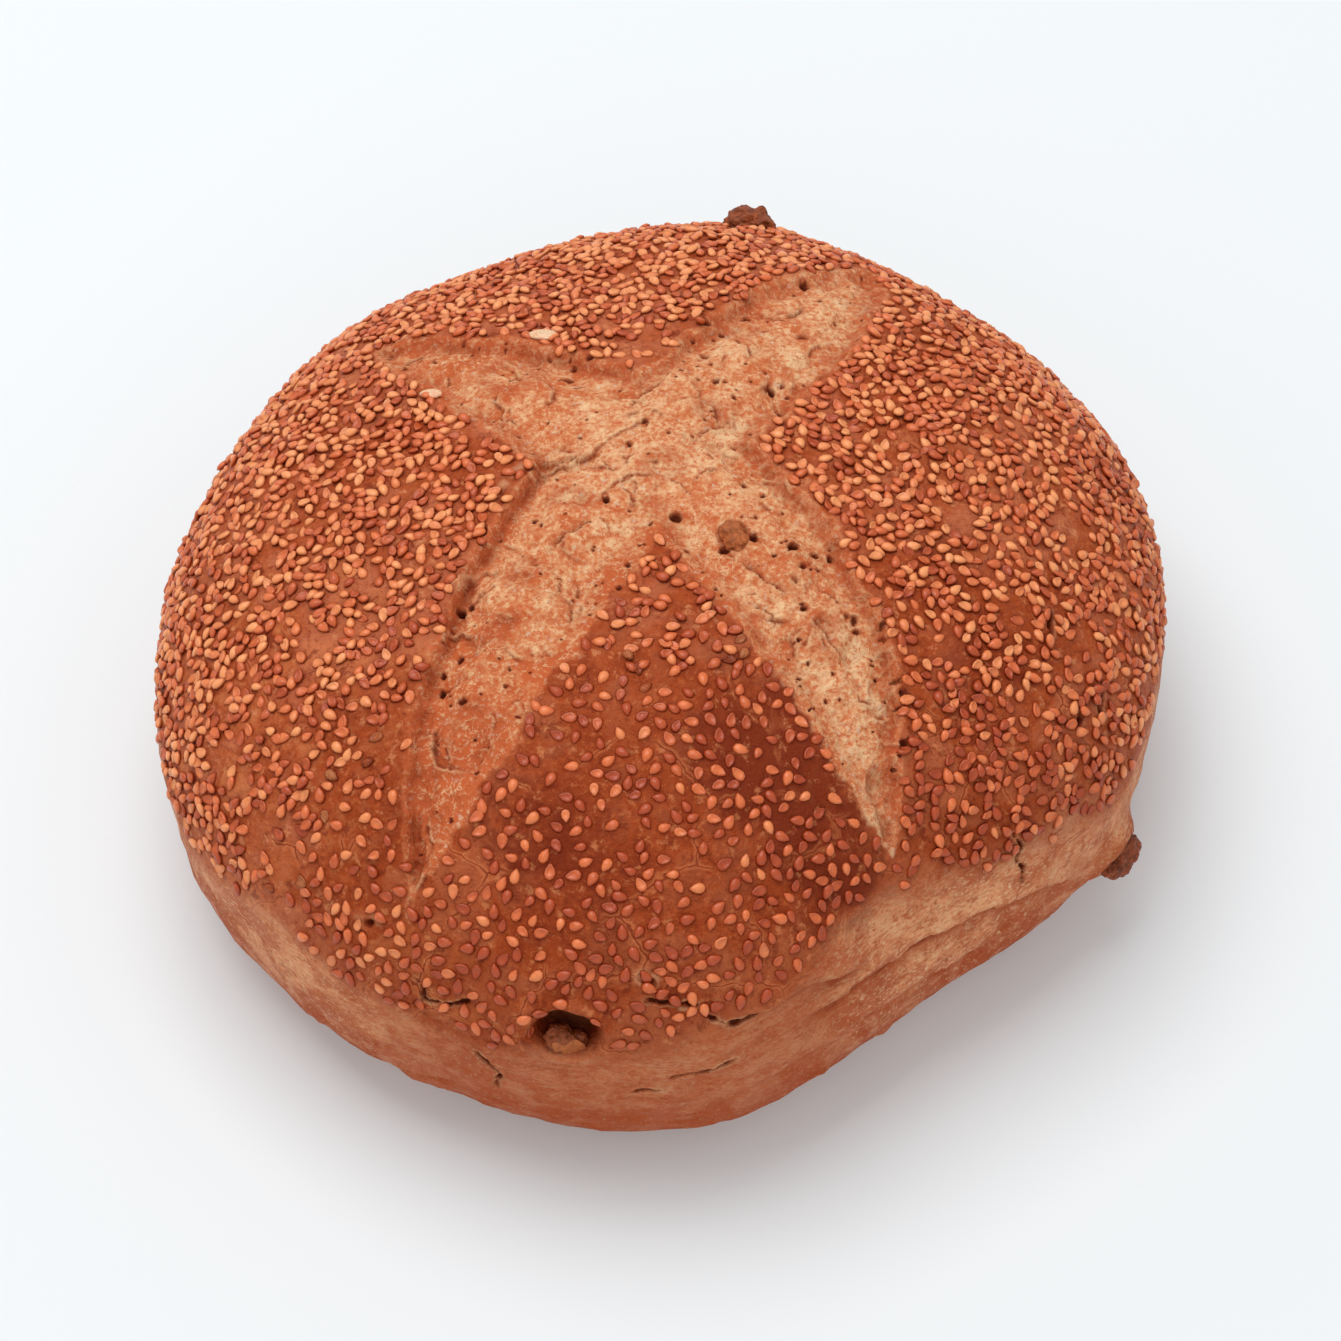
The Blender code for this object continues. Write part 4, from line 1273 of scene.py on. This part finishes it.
def seed_shape(name, sizes, dished):
    """A teardrop seed, lying in the XY plane with its point at +X, as rings from the underside up."""
    around = 10
    rings = [(0.62, -0.42), (1.0, -0.02)]
    if dished:
        rings += [(0.76, 0.37), (0.54, 0.22)]
        top = 0.18
    else:
        rings += [(0.74, 0.36)]
        top = 0.52
    bm = bmesh.new()
    tip = bm.verts.layers.float.new("tip")
    loops = []
    for scale, height in rings:
        loop = []
        for index in range(around):
            angle = 2 * math.pi * index / around
            along = math.cos(angle) - 0.12
            side = 1.24 * math.sin(angle) * abs(math.sin(angle / 2)) ** 0.7
            flat = (along * scale * sizes.length / 2, side * scale * sizes.width / 2)
            vertex = bm.verts.new((*flat, height * sizes.thickness))
            vertex[tip] = max(0.0, math.cos(angle)) ** 6 * scale
            loop.append(vertex)
        loops.append(loop)
    for low, high in zip(loops[:-1], loops[1:]):
        for index in range(around):
            after = (index + 1) % around
            bm.faces.new((low[index], low[after], high[after], high[index]))
    crown = bm.verts.new((-0.08 * sizes.length, 0, top * sizes.thickness))
    keel = bm.verts.new((-0.08 * sizes.length, 0, -0.52 * sizes.thickness))
    for index in range(around):
        after = (index + 1) % around
        bm.faces.new((loops[-1][index], loops[-1][after], crown))
        bm.faces.new((loops[0][after], loops[0][index], keel))
    bmesh.ops.triangulate(bm, faces=bm.faces)
    return new_piece(name, bm)


SCATTER_INPUTS = (
    ("Skin", "Geometry", None),
    ("Seed shape", "Object", None),
    ("Close spacing", "Float", 0.002),
    ("Apart spacing", "Float", 0.003),
    ("Most", "Float", 500000.0),
    ("Kind from", "Float", 0.0),
    ("Kind to", "Float", 1.0),
    ("Tilt", "Float", 0.3),
    ("Random", "Int", 0),
    ("Material", "Material", None),
)


def scatter_tree():
    """Seeds over a skin: even spots, thinned by the skin's own share, turned and tilted by chance."""
    tree = bpy.data.node_groups.new("seed_scatter", "GeometryNodeTree")
    tree.is_modifier = True
    for name, kind, default in SCATTER_INPUTS:
        socket = tree.interface.new_socket(name=name, in_out="INPUT", socket_type="NodeSocket" + kind)
        if default is not None:
            socket.default_value = default
    tree.interface.new_socket(name="Seeds", in_out="OUTPUT", socket_type="NodeSocketGeometry")
    entry = add_node(tree, "NodeGroupInput")
    leave = add_node(tree, "NodeGroupOutput")

    def node(kind, values=None, **settings):
        return add_node(tree, kind, values, **settings)

    def maths(operation, *values):
        return node("ShaderNodeMath", dict(enumerate(values)), operation=operation).outputs[0]

    def chance(low, high, number):
        seed = maths("ADD", entry.outputs["Random"], number)
        return node("FunctionNodeRandomValue", {2: low, 3: high, "Seed": seed}, data_type="FLOAT").outputs[1]

    def stored(name, kind):
        return node("GeometryNodeInputNamedAttribute", {"Name": name}, data_type=kind).outputs[0]

    def storing(geometry, name, value, kind, domain):
        values = {"Geometry": geometry, "Name": name, "Value": value}
        return node("GeometryNodeStoreNamedAttribute", values, data_type=kind, domain=domain).outputs[0]

    def spots_on_skin(attribute, spacing):
        spots = node(
            "GeometryNodeDistributePointsOnFaces",
            {
                "Mesh": entry.outputs["Skin"],
                "Distance Min": entry.outputs[spacing],
                "Density Max": entry.outputs["Most"],
                "Density Factor": stored(attribute, "FLOAT"),
                "Seed": entry.outputs["Random"],
            },
            distribute_method="POISSON",
        )
        turned = storing(spots.outputs["Points"], "turn", spots.outputs["Rotation"], "QUATERNION", "POINT")
        return storing(turned, "outwards", spots.outputs["Normal"], "FLOAT_VECTOR", "POINT")

    spots = node("GeometryNodeJoinGeometry")
    feed(tree, spots.inputs[0], spots_on_skin("seeds_apart", "Apart spacing"))
    feed(tree, spots.inputs[0], spots_on_skin("seeds_close", "Close spacing"))
    share = stored("seeds_close", "FLOAT")
    kind = chance(0.0, 1.0, 1)
    too_low = node("FunctionNodeCompare", {0: kind, 1: entry.outputs["Kind from"]}, operation="LESS_THAN")
    too_high = node("FunctionNodeCompare", {0: kind, 1: entry.outputs["Kind to"]}, operation="GREATER_EQUAL")
    either = {0: too_low.outputs[0], 1: too_high.outputs[0]}
    unwanted = node("FunctionNodeBooleanMath", either, operation="OR")
    lift = maths("MULTIPLY", chance(-0.0001, 0.0005, 2), share)
    outwards = {0: stored("outwards", "FLOAT_VECTOR"), "Scale": lift}
    raised = node("ShaderNodeVectorMath", outwards, operation="SCALE")
    moved = node("GeometryNodeSetPosition", {"Geometry": spots.outputs[0], "Offset": raised.outputs[0]})
    chosen = {"Geometry": moved.outputs[0], "Selection": unwanted.outputs[0]}
    kept = node("GeometryNodeDeleteGeometry", chosen, domain="POINT")
    turn = node("ShaderNodeCombineXYZ")
    easing = maths("MULTIPLY_ADD", share, 0.7, 0.3)
    for axis, number in (("X", 3), ("Y", 4)):
        tilted = maths("MULTIPLY", chance(-1.0, 1.0, number), entry.outputs["Tilt"])
        feed(tree, turn.inputs[axis], maths("MULTIPLY", tilted, easing))
    feed(tree, turn.inputs["Z"], chance(0.0, 2 * math.pi, 5))
    local = node("FunctionNodeEulerToRotation", {0: turn.outputs[0]})
    rotated = node(
        "FunctionNodeRotateRotation",
        {"Rotation": stored("turn", "QUATERNION"), "Rotate By": local.outputs[0]},
        rotation_space="LOCAL",
    )
    shape = node("GeometryNodeObjectInfo", {"Object": entry.outputs["Seed shape"]})
    placed = node(
        "GeometryNodeInstanceOnPoints",
        {
            "Points": kept.outputs[0],
            "Instance": shape.outputs["Geometry"],
            "Rotation": rotated.outputs[0],
            "Scale": chance(0.86, 1.12, 6),
        },
    )
    toned = storing(placed.outputs[0], "tone", chance(0.0, 1.0, 7), "FLOAT", "INSTANCE")
    real = node("GeometryNodeRealizeInstances", {"Geometry": toned})
    finish = {"Geometry": real.outputs[0], "Material": entry.outputs["Material"]}
    feed(tree, leave.inputs[0], node("GeometryNodeSetMaterial", finish).outputs[0])
    return tree


def scatter(name, skin, tree, values):
    """Run the scatter on a copy of the skin and keep the seeds as a plain mesh."""
    carrier = skin.copy()
    bpy.context.scene.collection.objects.link(carrier)
    modifier = carrier.modifiers.new("scatter", "NODES")
    modifier.node_group = tree
    for item in tree.interface.items_tree:
        if item.in_out == "INPUT" and item.name in values:
            modifier[item.identifier] = values[item.name]
    depsgraph = bpy.context.evaluated_depsgraph_get()
    depsgraph.update()
    mesh = bpy.data.meshes.new_from_object(carrier.evaluated_get(depsgraph), depsgraph=depsgraph)
    mesh.name = name
    mesh.shade_smooth()
    bpy.data.objects.remove(carrier, do_unlink=True)
    piece = bpy.data.objects.new(name, mesh)
    bpy.context.scene.collection.objects.link(piece)
    return piece


def find_piece(name):
    piece = bpy.data.objects.get(name)
    if piece is None:
        raise RuntimeError(f"{name} is made first")
    return piece


class MakeCrust(bpy.types.Operator):
    """Make the loaf's crust with its cross, folds, holes and tears"""

    bl_idname = "walnut_bread.make_crust"
    bl_label = "Crust"

    def execute(self, context):
        crust = make_crust_object(context.scene.bread_seeds.coat)
        crust.data.materials.append(crust_material(context.scene.bread_crust))
        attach(crust, BODY)
        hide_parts("loaf")
        return {"FINISHED"}


class MakeSeeds(bpy.types.Operator):
    """Strew the plump and the dished sesame seeds over the crust"""

    bl_idname = "walnut_bread.make_seeds"
    bl_label = "Sesame seeds"

    def execute(self, context):
        sizes = context.scene.bread_seeds
        crust = find_piece("crust")
        tree = scatter_tree()
        material = seed_material(context.scene.bread_nuts)
        for name, dished, first, last in (
            ("sesame_plump", False, sizes.dished, 2.0),
            ("sesame_dished", True, -1.0, sizes.dished),
        ):
            shape = seed_shape("seed_shape", sizes, dished)
            values = {
                "Seed shape": shape,
                "Close spacing": sizes.spacing,
                "Apart spacing": sizes.apart,
                "Most": sizes.most,
                "Kind from": first,
                "Kind to": last,
                "Tilt": SEED_TILT,
                "Random": sizes.random,
                "Material": material,
            }
            seeds = scatter(name, crust, tree, values)
            bpy.data.objects.remove(shape, do_unlink=True)
            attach(seeds, BODY)
            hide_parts("loaf")
        return {"FINISHED"}


class MakeKernels(bpy.types.Operator):
    """Lay the pale kernels by the edge of the cross"""

    bl_idname = "walnut_bread.make_kernels"
    bl_label = "Pale kernels"

    def execute(self, context):
        bm = bmesh.new()
        stripe = bm.verts.layers.float.new("stripe")
        coat = context.scene.bread_seeds.coat
        for azimuth, lift, turn, length, width in KERNELS:
            azimuth, lift, turn = (math.radians(angle) for angle in (azimuth, lift, turn))
            spot = settled_spot(azimuth, lift, KERNEL_RISE, turn, coat)
            made = bmesh.ops.create_uvsphere(bm, u_segments=28, v_segments=16, radius=0.5)
            for vertex in made["verts"]:
                x, y, z = vertex.co
                ridge = 0.5 + 0.5 * math.cos(KERNEL_RIDGES * y)
                vertex[stripe] = ridge
                x, y = x * length, y * width * (1 - KERNEL_TAPER * x)
                z *= KERNEL_THICKNESS * (1 + KERNEL_RIDGE_RISE * ridge)
                vertex.co = spot @ Vector((x, y, z)) + LOAF_MIDDLE
        kernels = new_piece("pale_kernels", bm, kernel_material(context.scene.bread_nuts))
        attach(kernels, BODY)
        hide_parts("loaf")
        return {"FINISHED"}


def walnut_piece(name, half_sizes, spot, wrinkle_seed, material):
    """Two wrinkled lobes with a groove between them, and a broken face on one side."""
    bm = bmesh.new()
    bmesh.ops.create_icosphere(bm, subdivisions=6, radius=1)
    broken = bm.verts.layers.float.new("broken")
    shift = Vector((wrinkle_seed, 2 * wrinkle_seed, 0))
    break_start, break_side, skin_share = WALNUT_BREAKS[name]
    face = Vector(break_side).normalized()
    for vertex in bm.verts:
        direction = vertex.co.normalized()
        groove = WALNUT_GROOVE_DEPTH * math.exp(-((direction.x / WALNUT_GROOVE_WIDTH) ** 2))
        wrinkle = WALNUT_WRINKLE_DEPTH * noise.noise(direction * WALNUT_WRINKLES + shift)
        ridges = WALNUT_RIDGE_DEPTH * (abs(noise.noise(direction * WALNUT_RIDGES + shift * 3)) - 0.25)
        ridges += WALNUT_GRAIN_DEPTH * noise.noise(direction * WALNUT_GRAIN + shift)
        reach = min(1 - groove + wrinkle + ridges, WALNUT_REACH)
        flat = break_start / max(direction.dot(face), 0.1)
        vertex[broken] = 1.0 if flat < reach else skin_share
        reach = min(reach, flat + 0.02 * noise.noise(direction * 8))
        place = Vector([reach * part * half for part, half in zip(direction, half_sizes)])
        vertex.co = spot @ place + LOAF_MIDDLE
    piece = new_piece(name + "_nut", bm, material)
    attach(piece, BODY)
    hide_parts(name)


class MakeWalnuts(bpy.types.Operator):
    """Set the four walnut pieces in their places"""

    bl_idname = "walnut_bread.make_walnuts"
    bl_label = "Walnut pieces"

    def execute(self, context):
        material = walnut_material(context.scene.bread_nuts)
        for name, azimuth, lift, offset, length, width, height, turn, seed in WALNUTS:
            spot = crust_spot(math.radians(azimuth), math.radians(lift), offset, math.radians(turn))
            walnut_piece(name, (length, width, height), spot, seed, material)
        return {"FINISHED"}


class MakeStage(bpy.types.Operator):
    """Make the floor, the soft light and the camera"""

    bl_idname = "walnut_bread.make_stage"
    bl_label = "Floor, light and camera"

    def execute(self, context):
        look = context.scene.bread_stage
        bm = bmesh.new()
        bmesh.ops.create_grid(bm, x_segments=1, y_segments=1, size=FLOOR_HALF)
        paint = Paint("floor")
        paint.shader.inputs["Emission Color"].default_value = GLOW_TINT
        paint.shader.inputs["Emission Strength"].default_value = look.glow
        floor = new_piece("floor", bm, paint.finish((*look.floor, 1), 0.9, None, 0.2))

        world = bpy.data.worlds.new("studio")
        world.use_nodes = True
        background = world.node_tree.nodes["Background"]
        background.inputs["Color"].default_value = SKY_TINT
        background.inputs["Strength"].default_value = look.sky
        context.scene.world = world

        add_lamp("key", KEY_PLACE, look.lamp, look.key)
        add_lamp("fill", FILL_PLACE, FILL_SIZE_SHARE * look.lamp, look.fill)
        add_camera(context.scene)
        context.scene.view_settings.view_transform = "Standard"
        return {"FINISHED"}


def add_lamp(name, place, side, power):
    lamp = bpy.data.lights.new(name, "AREA")
    lamp.shape = "SQUARE"
    lamp.size = side
    lamp.energy = power
    holder = bpy.data.objects.new(name, lamp)
    holder.location = place
    aim = Vector(LIGHT_AIM) - Vector(place)
    holder.rotation_euler = aim.to_track_quat("-Z", "Y").to_euler()
    bpy.context.scene.collection.objects.link(holder)


def add_camera(scene):
    ahead = Vector((0, math.cos(CAMERA_ELEVATION), -math.sin(CAMERA_ELEVATION)))
    right = Vector((1, 0, 0))
    up = right.cross(ahead)
    middle = LOAF_MIDDLE + Vector((0, 0, CAMERA_AIM_HEIGHT))
    place = middle - ahead * CAMERA_DISTANCE
    aim = middle + right * CAMERA_AIM_RIGHT - up * CAMERA_AIM_DOWN
    camera = bpy.data.objects.new("camera", bpy.data.cameras.new("camera"))
    camera.data.lens = CAMERA_LENS
    camera.data.sensor_width = 36
    camera.data.clip_start = 0.01
    camera.location = place
    camera.rotation_euler = (aim - place).to_track_quat("-Z", "Y").to_euler()
    scene.collection.objects.link(camera)
    scene.camera = camera


OPERATORS = (MakeCrust, MakeSeeds, MakeKernels, MakeWalnuts, MakeStage)


class BreadPanel(bpy.types.Panel):
    """Lists the pieces of the loaf"""

    bl_idname = "VIEW3D_PT_walnut_bread"
    bl_label = "Walnut bread"
    bl_space_type = "VIEW_3D"
    bl_region_type = "UI"
    bl_category = "Walnut bread"

    def draw(self, context):
        for operator in OPERATORS:
            self.layout.operator(operator.bl_idname)


GROUPS = (
    ("bread_seeds", SeedSizes),
    ("bread_crust", CrustColours),
    ("bread_nuts", NutColours),
    ("bread_stage", StageLook),
)


def register():
    for name, group in GROUPS:
        bpy.utils.register_class(group)
        setattr(bpy.types.Scene, name, PointerProperty(type=group))
    for operator in OPERATORS:
        bpy.utils.register_class(operator)
    bpy.utils.register_class(BreadPanel)


def unregister():
    bpy.utils.unregister_class(BreadPanel)
    for operator in reversed(OPERATORS):
        bpy.utils.unregister_class(operator)
    for name, group in reversed(GROUPS):
        delattr(bpy.types.Scene, name)
        bpy.utils.unregister_class(group)


def main():
    register()
    bpy.ops.walnut_bread.make_stage()
    bpy.ops.walnut_bread.make_crust()
    bpy.ops.walnut_bread.make_seeds()
    bpy.ops.walnut_bread.make_kernels()
    bpy.ops.walnut_bread.make_walnuts()


if __name__ == "__main__":
    main()
